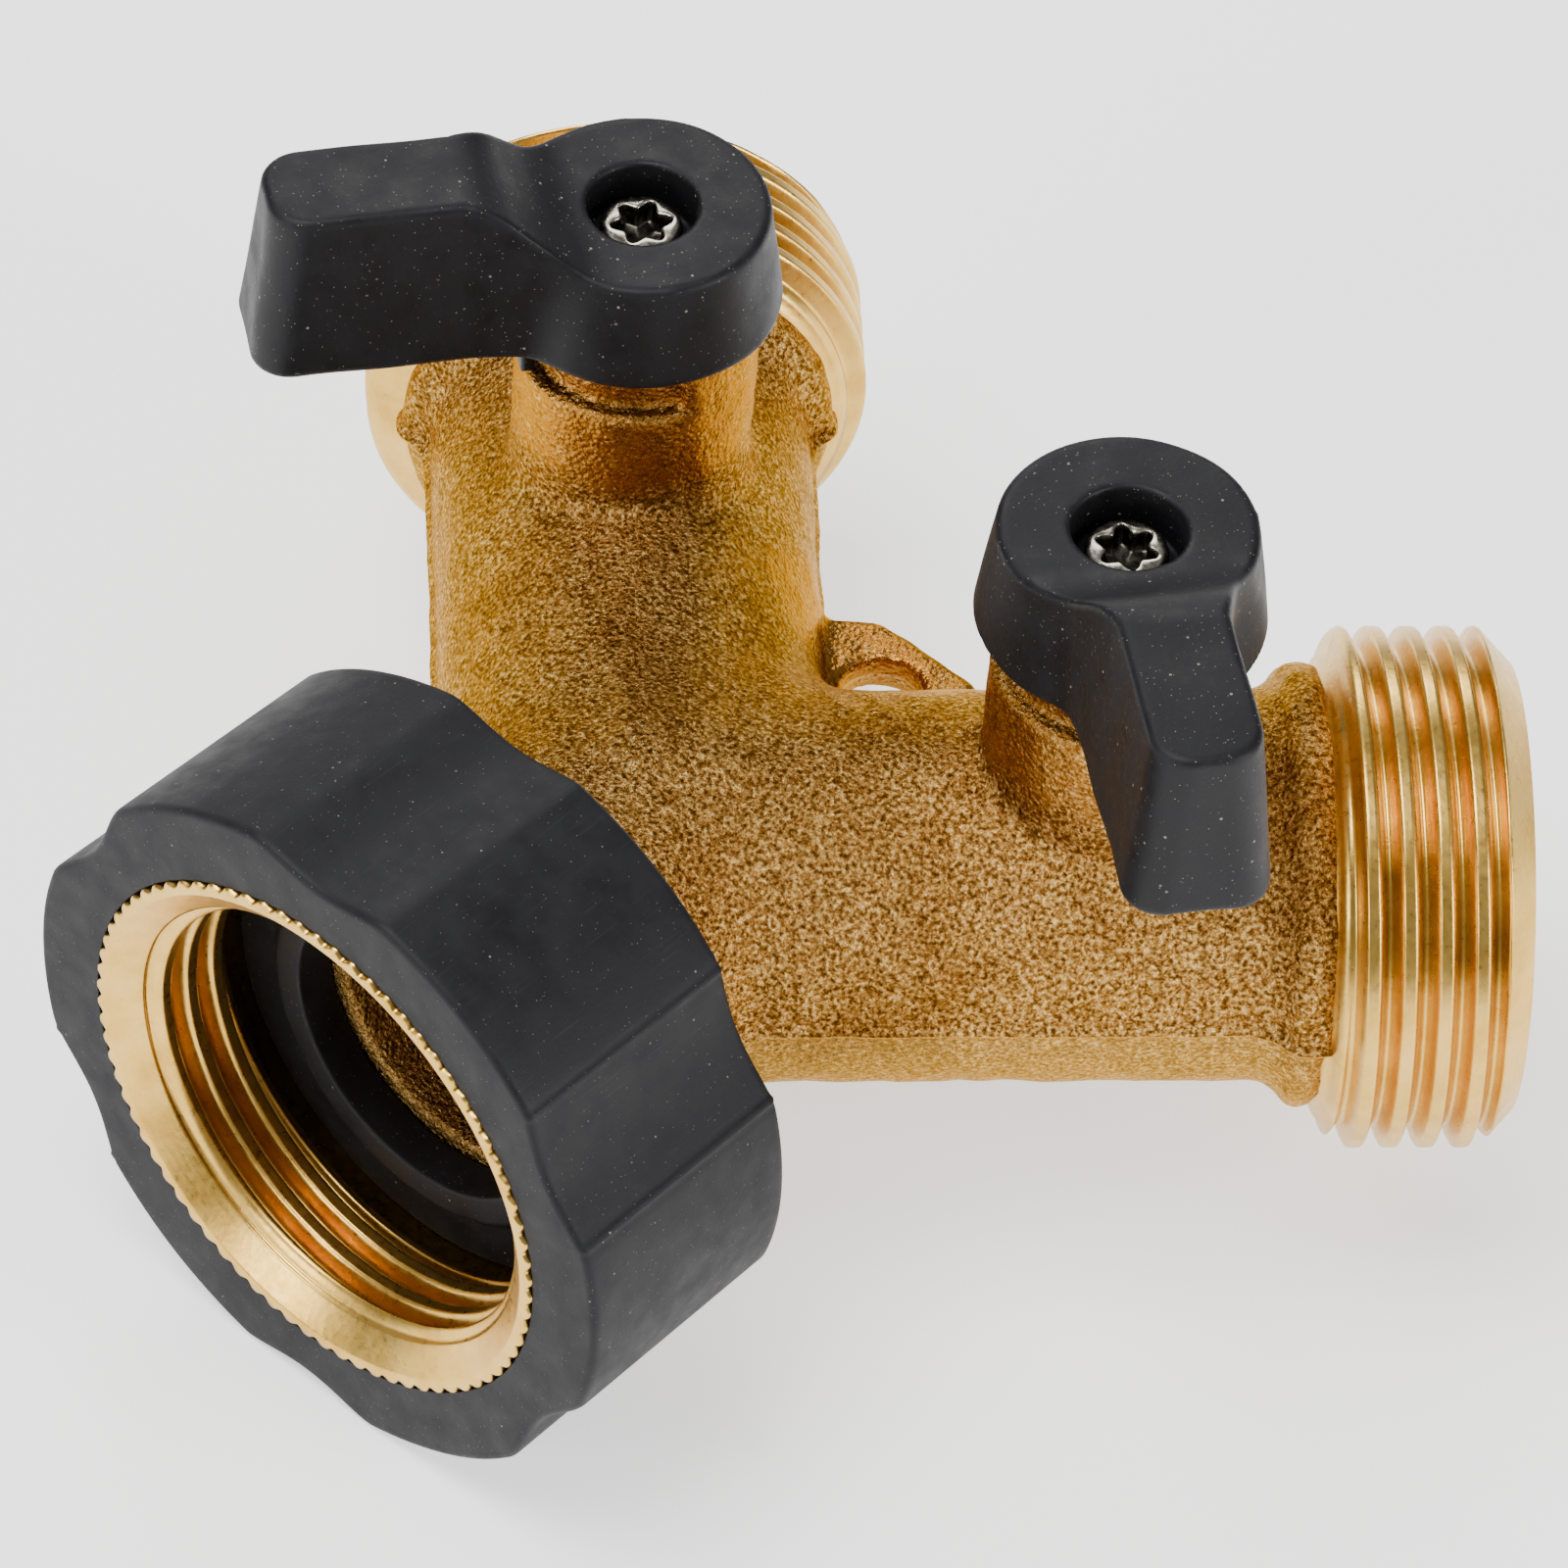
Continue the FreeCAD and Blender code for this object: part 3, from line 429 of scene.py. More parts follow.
plasticLook = {
    "colour": (0.0042, 0.0042, 0.0052),
    "dust": (0.22, 0.20, 0.15),
    "roughness": (0.42, 0.58),
}


dustSizes = ((1.3, 0.50, 0.60), (3.4, 0.38, 0.50))       # specks to the millimetre, and where noise keeps them


# Black mouldings: a fine pebbled skin, scratches as thin stretched noise, and pale dust in specks of two sizes.
def blackMoulding(name, look, pebble, scratchTurn, specks):
    material, nodes, links, shader = newMaterial(name)
    place = placedCoordinates(nodes, links)
    stretched = placedCoordinates(nodes, links, scratchTurn, (0.25, 9.0, 9.0))
    skin = noise(nodes, links, place, pebble, 3.0)
    haze = noise(nodes, links, place, 0.5, 4.0, 0.6)
    scratches = noise(nodes, links, stretched, 0.9, 2.0)
    masks = []
    for scale, low, high in dustSizes:
        dust = addNode(nodes, "ShaderNodeTexVoronoi", Scale=scale, Randomness=1.0)
        links.new(place, dust.inputs["Vector"])
        speck = ramp(nodes, links, dust.outputs["Distance"], [(specks, (1, 1, 1)), (specks + 0.04, (0, 0, 0))])
        patches = noise(nodes, links, place, 0.7 * scale, 2.0)
        picked = ramp(nodes, links, patches, [(low, (0, 0, 0)), (high, (1, 1, 1))])
        masks.append(mixColour(nodes, links, 1.0, speck, picked, "MULTIPLY"))
    mask = mixColour(nodes, links, 1.0, *masks, "LIGHTEN")
    base = ramp(nodes, links, haze, [
        (0.3, look["colour"]), (0.75, tuple(1.9 * c for c in look["colour"]))])
    marked = ramp(nodes, links, scratches, [(0.63, (0, 0, 0)), (0.72, (0.35, 0.35, 0.35))])
    base = mixColour(nodes, links, marked, base, tuple(4 * c for c in look["colour"]))
    links.new(mixColour(nodes, links, mask, base, look["dust"]), shader.inputs["Base Color"])
    shader.inputs["Specular IOR Level"].default_value = 0.22
    low, high = look["roughness"]
    links.new(rangeMap(nodes, links, haze, 0.3, 0.7, low, high), shader.inputs["Roughness"])
    normal = bump(nodes, links, skin, 0.02, 0.5)
    normal = bump(nodes, links, scratches, 0.012, 0.4, normal)
    links.new(normal, shader.inputs["Normal"])
    return material


rubberLook = {
    "colour": (0.0050, 0.0050, 0.0062),
    "dust": (0.20, 0.18, 0.15),
    "roughness": (0.48, 0.66),
}


# Plated or bare metal, clouded; with a depth given, it darkens below that height: painted shade in a recess.
def plainMetal(name, colour, roughness, scale=1.6, recessShade=None):
    material, nodes, links, shader = newMaterial(name)
    place = placedCoordinates(nodes, links)
    cloud = noise(nodes, links, place, scale, 4.0, 0.6)
    tint = ramp(nodes, links, cloud, [(0.3, tuple(0.55 * c for c in colour)), (0.6, colour)])
    if recessShade:
        parted = nodes.new("ShaderNodeSeparateXYZ")
        links.new(nodes.new("ShaderNodeTexCoord").outputs["Object"], parted.inputs["Vector"])
        # painted shade: below the lower height the colour falls to 0.09 of itself, fading out by the upper height
        height = rangeMap(nodes, links, parted.outputs["Z"], recessShade[0] * mm, recessShade[1] * mm, 1.0, 0.0)
        tint = mixColour(nodes, links, height, tint, tuple(0.09 * c for c in colour))
    links.new(tint, shader.inputs["Base Color"])
    shader.inputs["Metallic"].default_value = 1.0
    links.new(rangeMap(nodes, links, cloud, 0.3, 0.7, roughness, roughness + 0.2), shader.inputs["Roughness"])
    links.new(bump(nodes, links, cloud, 0.02, 0.4), shader.inputs["Normal"])
    return material


def palePlastic(name, colour):
    material, nodes, links, shader = newMaterial(name)
    place = placedCoordinates(nodes, links)
    cloud = noise(nodes, links, place, 1.2, 3.0)
    links.new(ramp(nodes, links, cloud, [(0.3, tuple(0.8 * c for c in colour)), (0.7, colour)]),
              shader.inputs["Base Color"])
    shader.inputs["Subsurface Weight"].default_value = 0.1
    shader.inputs["Subsurface Scale"].default_value = 0.5 * mm
    links.new(rangeMap(nodes, links, cloud, 0.3, 0.7, 0.3, 0.45), shader.inputs["Roughness"])
    links.new(bump(nodes, links, cloud, 0.01, 0.4), shader.inputs["Normal"])
    return material


materials = {
    "cast": castBrass(),
    "inletBrass": turnedBrass("inletBrass", (90, 0, 0)),
    "leftBrass": turnedBrass("leftBrass", (90, 0, -45)),
    "rightBrass": turnedBrass("rightBrass", (90, 0, 45)),
    "plastic": blackMoulding("handlePlastic", plasticLook, 4.0, (0, 0, 30), 0.075),
    "rubber": blackMoulding("gripRubber", rubberLook, 5.0, (0, 0, 90), 0.05),
    "washer": blackMoulding("washerRubber", rubberLook, 5.0, (0, 0, 0), 0.06),
    "ringRubber": blackMoulding("ringRubber", rubberLook, 6.0, (0, 0, 0), 0.03),
    "seat": palePlastic("seatPlastic", (0.82, 0.80, 0.76)),
    "chrome": plainMetal("ballChrome", (0.80, 0.80, 0.82), 0.08),
    # the last pair gives the heights below which the screw's recess is painted in shade
    "steel": plainMetal("screwSteel", (0.46, 0.42, 0.35), 0.14, 2.5, (24.15, 24.45)),
    "spring": plainMetal("springSteel", (0.55, 0.55, 0.56), 0.25),
}
print("materials made:", len(materials))


def finish(piece, material, body, slot, *nodes):
    piece.data.materials.clear()
    piece.data.materials.append(materials[material])
    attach(piece, body)
    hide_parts(*nodes)


casting = {
    "legRadius": 10.0,
    "neckRadius": 10.4,
    "neckFace": 12.6,
    "tailRadius": 9.6,
    "tailEnd": 8.2,
    "collarRadius": 11.3,
    "collar": (32.4, 34.0),
    "collarEdge": 0.9,
    "collarBlend": 2.2,
    "legBlend": 3.0,
    "bossRadius": 6.2,
    "bossTop": 19.4,
    "bossEdge": 0.35,
    "bossBlend": 0.8,
    "bodyBlend": 1.2,
    "notchFloor": 16.6,
    "notchCore": 5.3,
    "notchMiddle": 41.0,
    "notchHalf": 71.45,
    "notchEdge": 0.3,
    "notchBlend": 0.35,
    "lugTip": 21.7,
    "lugHalf": 3.3,
    "lugSlope": 2.8,
    "lugThickness": 2.5,
    "lugStart": 9.0,
    "lugCorner": 0.3,
    "lugEdge": 0.4,
    "lugBlend": 0.8,
    "lugHole": 2.2,
    "lugHoleEdge": 0.3,
    "inletBore": 7.4,
    "passage": 4.8,
    "chamber": 7.2,
    "chamberReach": (6.4, 10.0),
    "outletBore": 8.6,
    "borePast": 1.0,           # how far the bores are cut past the end of each leg
    "boreEdge": 0.25,
    "stemBore": 3.1,
    "stemPocket": 3.8,
    "stemPocketTop": 9.2,
    "partingRidge": 0.28,
    "partingStep": 0.22,
    "partingWidth": 0.38,
    "partingDrop": 0.35,
    "partingBack": 8.0,        # how far before the junction the parting line starts
    "waviness": 0.05,
    "step": 0.39,
}


# Legs, neck, bosses, collars and lug joined with blends, bores and notches taken away, then the mould's
# parting line and a slight waviness laid on the outside.
def castingField(points):
    c = casting
    fromJunction = points - junction
    x, y, z = points.T
    solid = np.linalg.norm(fromJunction, axis=1) - c["neckRadius"]
    aroundInlet = np.hypot(x, z)
    neck = np.maximum(aroundInlet - c["neckRadius"], np.maximum(c["neckFace"] - y, y - junction[1]))
    solid = np.minimum(solid, neck)
    legs = []
    bores = np.maximum(aroundInlet - c["inletBore"], y - junction[1])
    bores = np.minimum(bores, np.linalg.norm(fromJunction, axis=1) - c["inletBore"])
    bosses = []
    notches = []
    for side in sides:
        s = fromJunction @ side["along"]
        across = fromJunction - s[:, None] * side["along"]
        r = np.linalg.norm(across, axis=1)
        start, end = c["collar"]
        leg = np.maximum(r - c["legRadius"], np.maximum(-s, s - end))
        collar = blendMax(r - c["collarRadius"], np.abs(s - (start + end) / 2) - (end - start) / 2,
                          c["collarEdge"])
        legs.append(blendMin(leg, collar, c["collarBlend"]))
        low, high = c["chamberReach"]
        low, high = side["valveAlong"] - low, side["valveAlong"] + high
        past = s - end - c["borePast"]
        flare = np.clip(c["chamber"] + s - high, 0, c["outletBore"])
        passage = np.maximum(r - c["passage"], np.maximum(-s, past))
        chamber = np.maximum(r - c["chamber"], np.maximum(low - s, past))
        mouth = np.maximum(r - flare, np.maximum(high - s, past))
        bores = np.minimum(np.minimum(bores, passage), np.minimum(chamber, mouth))
        fromValve = points - side["valve"]
        rb = np.hypot(fromValve[:, 0], fromValve[:, 1])
        bosses.append(blendMax(rb - c["bossRadius"], np.maximum(z - c["bossTop"], -z), c["bossEdge"]))
        pocket = np.maximum(rb - c["stemPocket"], np.maximum(z - c["stemPocketTop"], -z))
        shaft = np.maximum(rb - c["stemBore"], -z)
        bores = np.minimum(bores, np.minimum(pocket, shaft))
        middle = math.radians(side["closed"] + side["opening"] * c["notchMiddle"])
        away = np.abs((np.arctan2(fromValve[:, 1], fromValve[:, 0]) - middle + np.pi) % (2 * np.pi) - np.pi)
        wedge = (away - math.radians(c["notchHalf"])) * np.maximum(rb, 1)
        step = blendMax(c["notchFloor"] - z, c["notchCore"] - rb, c["notchEdge"])
        notches.append(blendMax(step, wedge, c["notchEdge"]))
    branches = blendMin(legs[0], legs[1], c["legBlend"])
    solid = blendMin(solid, branches, c["bodyBlend"])
    tip = junction[1] + c["lugTip"]
    slopes = (np.abs(x) + y - c["lugHalf"] - tip) * math.sqrt(0.5)
    outline = blendMax(y - tip, slopes, c["lugCorner"])
    lug = blendMax(outline, np.abs(z) - c["lugThickness"] / 2, c["lugEdge"])
    lug = np.maximum(lug, np.maximum(np.abs(x) - c["lugHalf"] - c["lugSlope"], junction[1] + c["lugStart"] - y))
    solid = blendMin(solid, lug, c["lugBlend"])
    lower = smoothStep(-z, 0.0, c["partingDrop"])
    ridge = c["partingRidge"] * np.exp(-(z / c["partingWidth"]) ** 2) * (y > junction[1] - c["partingBack"])
    solid = solid + c["partingStep"] * lower - ridge
    for boss in bosses:
        solid = blendMin(solid, boss, c["bossBlend"])
    solid = solid + c["waviness"] * (0.6 * waveNoise(points, 5.0, 9, 3) + 0.4 * waveNoise(points, 1.7, 12, 5))
    tail = np.maximum(aroundInlet - c["tailRadius"], np.maximum(c["tailEnd"] - y, y - junction[1]))
    solid = np.minimum(solid, tail)
    for notch in notches:
        solid = blendMax(solid, -notch, c["notchBlend"])
    hang = np.array(mounts["lug_hole"]["pos_m"]) / mm
    solid = blendMax(solid, c["lugHole"] - np.hypot(x - hang[0], y - hang[1]), c["lugHoleEdge"])
    return blendMax(solid, -bores, c["boreEdge"])


# The bosses' flanks and the lug are rubbed smooth: one there, nought on the rest, with a soft edge between.
def markRubbed(piece):
    points = np.empty(3 * len(piece.data.vertices))
    piece.data.vertices.foreach_get("co", points)
    points = points.reshape(-1, 3) / mm
    mark = smoothStep(points[:, 1] - junction[1], 13.0, 16.0) * smoothStep(-np.abs(points[:, 0]), -8.0, -6.0)
    for side in sides:
        away = np.hypot(*(points - side["valve"])[:, :2].T)
        flank = smoothStep(-away, -7.6, -6.6) * smoothStep(points[:, 2], 10.5, 12.5)
        mark = np.maximum(mark, flank * (0.9 if side["name"] == "left" else 0.55))
    layer = piece.data.attributes.new("rubbed", "FLOAT", "POINT")
    layer.data.foreach_set("value", mark.astype(np.float32))


bodyLow, bodyHigh = (np.array(corner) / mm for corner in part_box("valve_body"))
bodyPiece = fieldPiece("castBody", castingField, bodyLow + [4, 0, 2], bodyHigh - [4, 6, 0], casting["step"])
markRubbed(bodyPiece)
finish(bodyPiece, "cast", "casting", "cast_brass", "valve_body")
print("casting made:", len(bodyPiece.data.polygons), "quads")


outlet = {
    "pitch": 1.814,
    "major": 13.22,
    "minor": 12.06,
    "crestHalf": 0.26,
    "flankEnd": 0.84,
    "fade": (-0.75, 0.7),
    "threadEnd": 7.86,
    "endFace": 9.206,
    "rimRadius": 11.52,
    "foot": -0.95,
    "footRadius": 10.9,
    "bore": 8.6,
    "boreChamfer": 0.5,
    "angles": 256,
    "spacing": 0.085,
}


# height of a thread's flank at a distance from its crest: flat on top, then an eased fall to the root
def flank(distance, crestHalf, flankEnd):
    return 1 - smoothStep(distance, crestHalf, flankEnd)


def crestDistance(height, angle, pitch, hand=1):
    turns = (height / pitch - hand * angle / (2 * np.pi)) + 0.5
    return np.abs(turns - np.floor(turns) - 0.5) * pitch


# The outside profile is cut by a helix: radius = root + depth * flank(distance to the nearest crest). It fades
# in beside the collar and is trimmed by the end chamfer, and the loop closes back through the bore.
def outletPiece(side):
    o = outlet
    angle = np.arange(o["angles"]) * 2 * np.pi / o["angles"]
    height = np.arange(0.0, o["endFace"] + o["spacing"], o["spacing"])
    height = height[height < o["endFace"] - 0.02]
    height = np.append(height, o["endFace"])[:, None]
    fade = smoothStep(height, *o["fade"])
    distance = crestDistance(height - o["crestHalf"], angle[None, :], o["pitch"])
    ridge = flank(distance, o["crestHalf"], o["flankEnd"]) * fade
    radius = o["minor"] + (o["major"] - o["minor"]) * ridge
    taper = o["major"] - (height - o["threadEnd"] + 0.25) * (o["major"] - o["rimRadius"]) / (
        o["endFace"] - o["threadEnd"] + 0.25)
    radius = np.minimum(radius, taper)
    columns = o["angles"]
    whole = np.ones((1, columns))
    foot = [
        (o["footRadius"], o["foot"]), (o["footRadius"], -0.72),
        (o["minor"] - 0.35, -0.45), (o["minor"], -0.15),
    ]
    bore, face = o["bore"], o["endFace"]
    chamferRadius, chamferEnd = bore + o["boreChamfer"], face - o["boreChamfer"]
    inner = [
        (chamferRadius + 0.35, face), (chamferRadius, face - 0.03), (bore + 0.1, chamferEnd + 0.05),
        (bore, chamferEnd - 0.1), (bore, 4.0), (bore, 0.0), (bore, o["foot"]),
    ]
    rim = [(o["rimRadius"] - 0.06, o["endFace"])]
    radii = np.vstack([*(r * whole for r, _ in foot), radius, *(r * whole for r, _ in rim + inner)])
    heights = np.vstack([*(h * whole for _, h in foot), height * whole, *(h * whole for _, h in rim + inner)])
    origin = side["threadStart"]
    name = side["name"] + "OutletThread"
    piece = turnedPiece(name, radii, heights, origin, axesAlong(side["along"]))
    finish(piece, side["name"] + "Brass", "casting", "turned_brass", "valve_body")
    return piece


for side in sides:
    outletPiece(side)
print("outlet threads made")


nut = {
    "mouth": -1.9,
    "radius": 14.9,
    "face": 14.18,
    "leadInEnd": 12.7,
    "leadInLength": 1.25,
    "minor": 12.06,
    "major": 13.22,
    "pitch": 1.814,
    "crestHalf": 0.3,
    "flankEnd": 0.86,
    "threadEnd": 4.6,
    "pocketRadius": 13.4,
    "shoulder": 8.1,
    "bore": 9.7,
    "back": 12.3,
    "grooveHalf": 0.65,
    "grooveDepth": 0.55,
    "groovePlace": 10.2,
    "knurlTeeth": 76,
    "knurlDepth": 0.3,
    "anglesPerTooth": 10,
    "spacing": 0.11,
}


# Turned inside and out about the inlet's axis. The outer front edge carries teeth: radius falls by depth * a
# rounded saw of the angle, fading out behind the face. Inside, the thread's helix stands in from the root.
def nutPiece():
    n = nut
    columns = n["knurlTeeth"] * n["anglesPerTooth"]
    angle = np.arange(columns)[None, :] * 2 * np.pi / columns
    whole = np.ones((1, columns))
    tooth = np.abs((angle * n["knurlTeeth"] / (2 * np.pi)) % 1 - 0.5) * 2
    tooth = 1 - np.clip(tooth * 1.35, 0, 1) ** 1.3
    height = np.arange(n["mouth"] + n["leadInLength"], n["threadEnd"] + 0.9, n["spacing"])[:, None]
    distance = crestDistance(height - 0.3, angle, n["pitch"])
    runOut = smoothStep(height, n["threadEnd"] - 0.2, n["threadEnd"] + 0.7)
    fade = smoothStep(height, -1.1, 0.1) * (1 - runOut)
    threads = n["major"] - (n["major"] - n["minor"]) * flank(distance, n["crestHalf"], n["flankEnd"]) * fade
    cone = n["leadInEnd"] + (height - n["mouth"] - n["leadInLength"]) * 0.6
    threads = np.minimum(threads, np.maximum(cone, n["minor"]))
    pocket, shoulder, bore, outer = n["pocketRadius"], n["shoulder"], n["bore"], n["radius"]
    grooveStart, grooveEnd = n["groovePlace"] - n["grooveHalf"], n["groovePlace"] + n["grooveHalf"]
    back = [
        (pocket, 5.55), (pocket, shoulder - 0.15), (pocket - 0.15, shoulder),
        (bore + 0.3, shoulder), (bore, shoulder + 0.3),
        (bore, grooveStart), (bore + n["grooveDepth"], grooveStart),
        (bore + n["grooveDepth"], grooveEnd), (bore, grooveEnd),
        (bore, n["back"] - 0.3), (bore + 0.3, n["back"]), (outer - 0.35, n["back"]),
        (outer, n["back"] - 0.35), (outer, 4.0), (outer, 0.2), (outer, -0.6),
    ]
    knurl = [                  # radius, height and how much of the tooth's depth
        (outer, -0.7, 0.3), (outer, -1.0, 0.85), (outer, -1.4, 1.0),
        (outer - 0.03, n["mouth"] + 0.12, 1.0), (outer - 0.13, n["mouth"] + 0.02, 1.0),
    ]
    front = [
        (n["face"] + 0.2, n["mouth"]), (n["face"], n["mouth"] + 0.03), (n["face"] - 0.12, n["mouth"] + 0.12),
        (n["leadInEnd"] + 0.75, n["mouth"] + 0.62),
        (n["leadInEnd"] + 0.1, n["mouth"] + n["leadInLength"] - 0.1),
    ]
    radii = [threads]
    heights = [height * whole]
    radii += [r * whole for r, _ in back] + [r - n["knurlDepth"] * share * tooth for r, _, share in knurl]
    heights += [h * whole for _, h in back] + [h * whole for _, h, _ in knurl]
    radii += [r * whole for r, _ in front]
    heights += [h * whole for _, h in front]
    radii, heights = np.vstack(radii), np.vstack(heights)
    piece = turnedPiece("swivelNut", radii[::-1], heights[::-1], np.zeros(3), axesAlong((0, 1, 0)))
    finish(piece, "inletBrass", "inlet_nut", "turned_brass", "swivel_nut")
    return piece


nutPiece()
print("nut made")


grip = {
    "front": -1.7,
    "back": 12.3,
    "inner": 14.92,
    "outer": 19.05,
    "draft": 0.25,
    "scallopDepth": 1.1,
    "scallopRadius": 8.0,
    "lobeEase": 1.1,
    "edge": 0.55,
    "innerEdges": (0.2, 0.12),
    "innerEase": 0.6,
    "wall": -0.6,              # shallower than this the loop is outside, deeper it is inside
    "bore": -0.9,              # deeper than this it lies on the bore
    "edgeSteps": 6,
    "wallSteps": 15,
    "flutter": 0.05,
    "sink": 0.03,
    "nickDepth": 0.175,
    "nicks": (-30.0, 150.0),
    "angles": 720,
}


# Radius of the lobed outline at each angle: the round outside, or where nearer the axis, the scallop's own
# circle, with the edge between them slightly eased.
def gripRadius(angle):
    g = grip
    turn = np.degrees(angle) - 30
    away = np.radians(np.abs((turn + 30) % 60 - 30))
    centre = g["outer"] - g["scallopDepth"] + g["scallopRadius"]
    inside = np.maximum(g["scallopRadius"] ** 2 - (centre * np.sin(away)) ** 2, 0)
    hollow = centre * np.cos(away) - np.sqrt(inside)
    hollow = np.where(inside > 0, hollow, g["outer"] + 3)
    radius = blendMin(np.full_like(angle, g["outer"]), hollow, g["lobeEase"])
    for nick in g["nicks"]:
        off = (np.degrees(angle) - nick + 180) % 360 - 180
        radius = radius + g["nickDepth"] * np.exp(-((np.abs(off) - 11.6) / 0.5) ** 2)
    return np.minimum(radius, g["outer"] + 0.12)


# The outline carried along the inlet's axis from front to back, with rounded edges, back through the bore.
# The outside narrows towards the back and flutters a little with the angle.
def gripPiece():
    g = grip
    angle = np.arange(g["angles"])[None, :] * 2 * np.pi / g["angles"]
    outline = gripRadius(angle)
    length = g["back"] - g["front"]
    corners = [(0, 0), (0, length), (-1, length), (-1, 0)]
    loop = roundedLoop(corners, [g["edge"], g["edge"], *g["innerEdges"]], g["edgeSteps"])
    along = np.linspace(g["edge"], length - g["edge"], g["wallSteps"])[1:-1]
    wall = np.column_stack([np.zeros(len(along)), along])
    firstCorner = g["edgeSteps"] + 1
    loop = np.vstack([loop[:firstCorner], wall, loop[firstCorner:]])
    depth, place = loop[:, :1], loop[:, 1:]
    flutter = g["flutter"] * np.sin(angle * 7 + 0.8) * np.sin(angle * 3)
    outside = outline + depth - g["draft"] * place / length + flutter
    inside = g["inner"] + g["innerEase"] * (1 + depth) * (depth > g["bore"]) + 0 * angle
    radii = np.where(depth > g["wall"], outside, inside) - g["sink"]
    heights = g["front"] + place + 0 * angle
    piece = turnedPiece("nutGrip", radii, heights, np.zeros(3), axesAlong((0, 1, 0)))
    finish(piece, "rubber", "inlet_nut", "grip_rubber", "nut_grip")
    return piece


gripPiece()
print("grip made")


washer = {
    "bore": 8.2,
    "lip": (1.6, 2.2, 0.7),
    "outer": 13.0,
    "front": 5.7,
    "back": 8.1,
    "edge": 0.22,
}


# The stepped profile with eased corners, turned about the inlet's axis; the front sags by a slow wave.
def washerPiece():
    w = washer
    width, slope, rise = w["lip"]
    bore, front, outer, back = w["bore"], w["front"], w["outer"], w["back"]
    corners = [(bore, back), (bore, front), (bore + width, front),
               (bore + slope, front + rise), (outer, front + rise), (outer, back)]
    loop = roundedLoop(corners, w["edge"], 4)[::-1]
    columns = 160
    angle = np.arange(columns)[None, :] * 2 * np.pi / columns
    sag = 0.05 * np.sin(angle * 2 + 1) * (loop[:, 1:] < w["back"] - 0.5)
    radii, heights = loop[:, :1] + 0 * angle, loop[:, 1:] + sag
    piece = turnedPiece("hoseWasher", radii, heights, np.zeros(3), axesAlong((0, 1, 0)))
    finish(piece, "washer", "inlet_nut", "washer_rubber", "hose_washer")
    return piece


washerPiece()


handle = {
    "floor": 19.7,
    "headTop": 25.8,
    "headTopRadius": 6.5,
    "headFootRadius": 7.3,
    "armTop": 29.4,
    "armHalf": 2.75,
    "armDraft": 0.95,
    "armEnd": 20.2,
    "armCorner": 2.1,
    "armStart": 8.4,
    "rampRun": 4.2,
    "fan": ((0.0, 6.0), (4.6, 4.4)),
    "fanReach": 9.6,
    "wellRadius": 2.86,
    "wellFloor": 23.0,
    "pocket": (9.05, 18.25, 1.45, 27.2),
    "socketHalf": 2.05,
    "socketTop": 21.95,
    "shankHole": 1.5,
    "tab": (5.6, 6.35, 2.2, 16.9),
    "rampFoot": 1.3,
    "rampCrest": 1.1,
    "edge": 0.42,
    "floorEdge": 0.4,
    "headBlend": 0.8,
    "tabRoot": 0.5,
    "tabEdge": 0.3,
    "wellEdge": 0.22,
    "hollowEdge": 0.2,
    "waviness": 0.025,
    "step": 0.21,
}


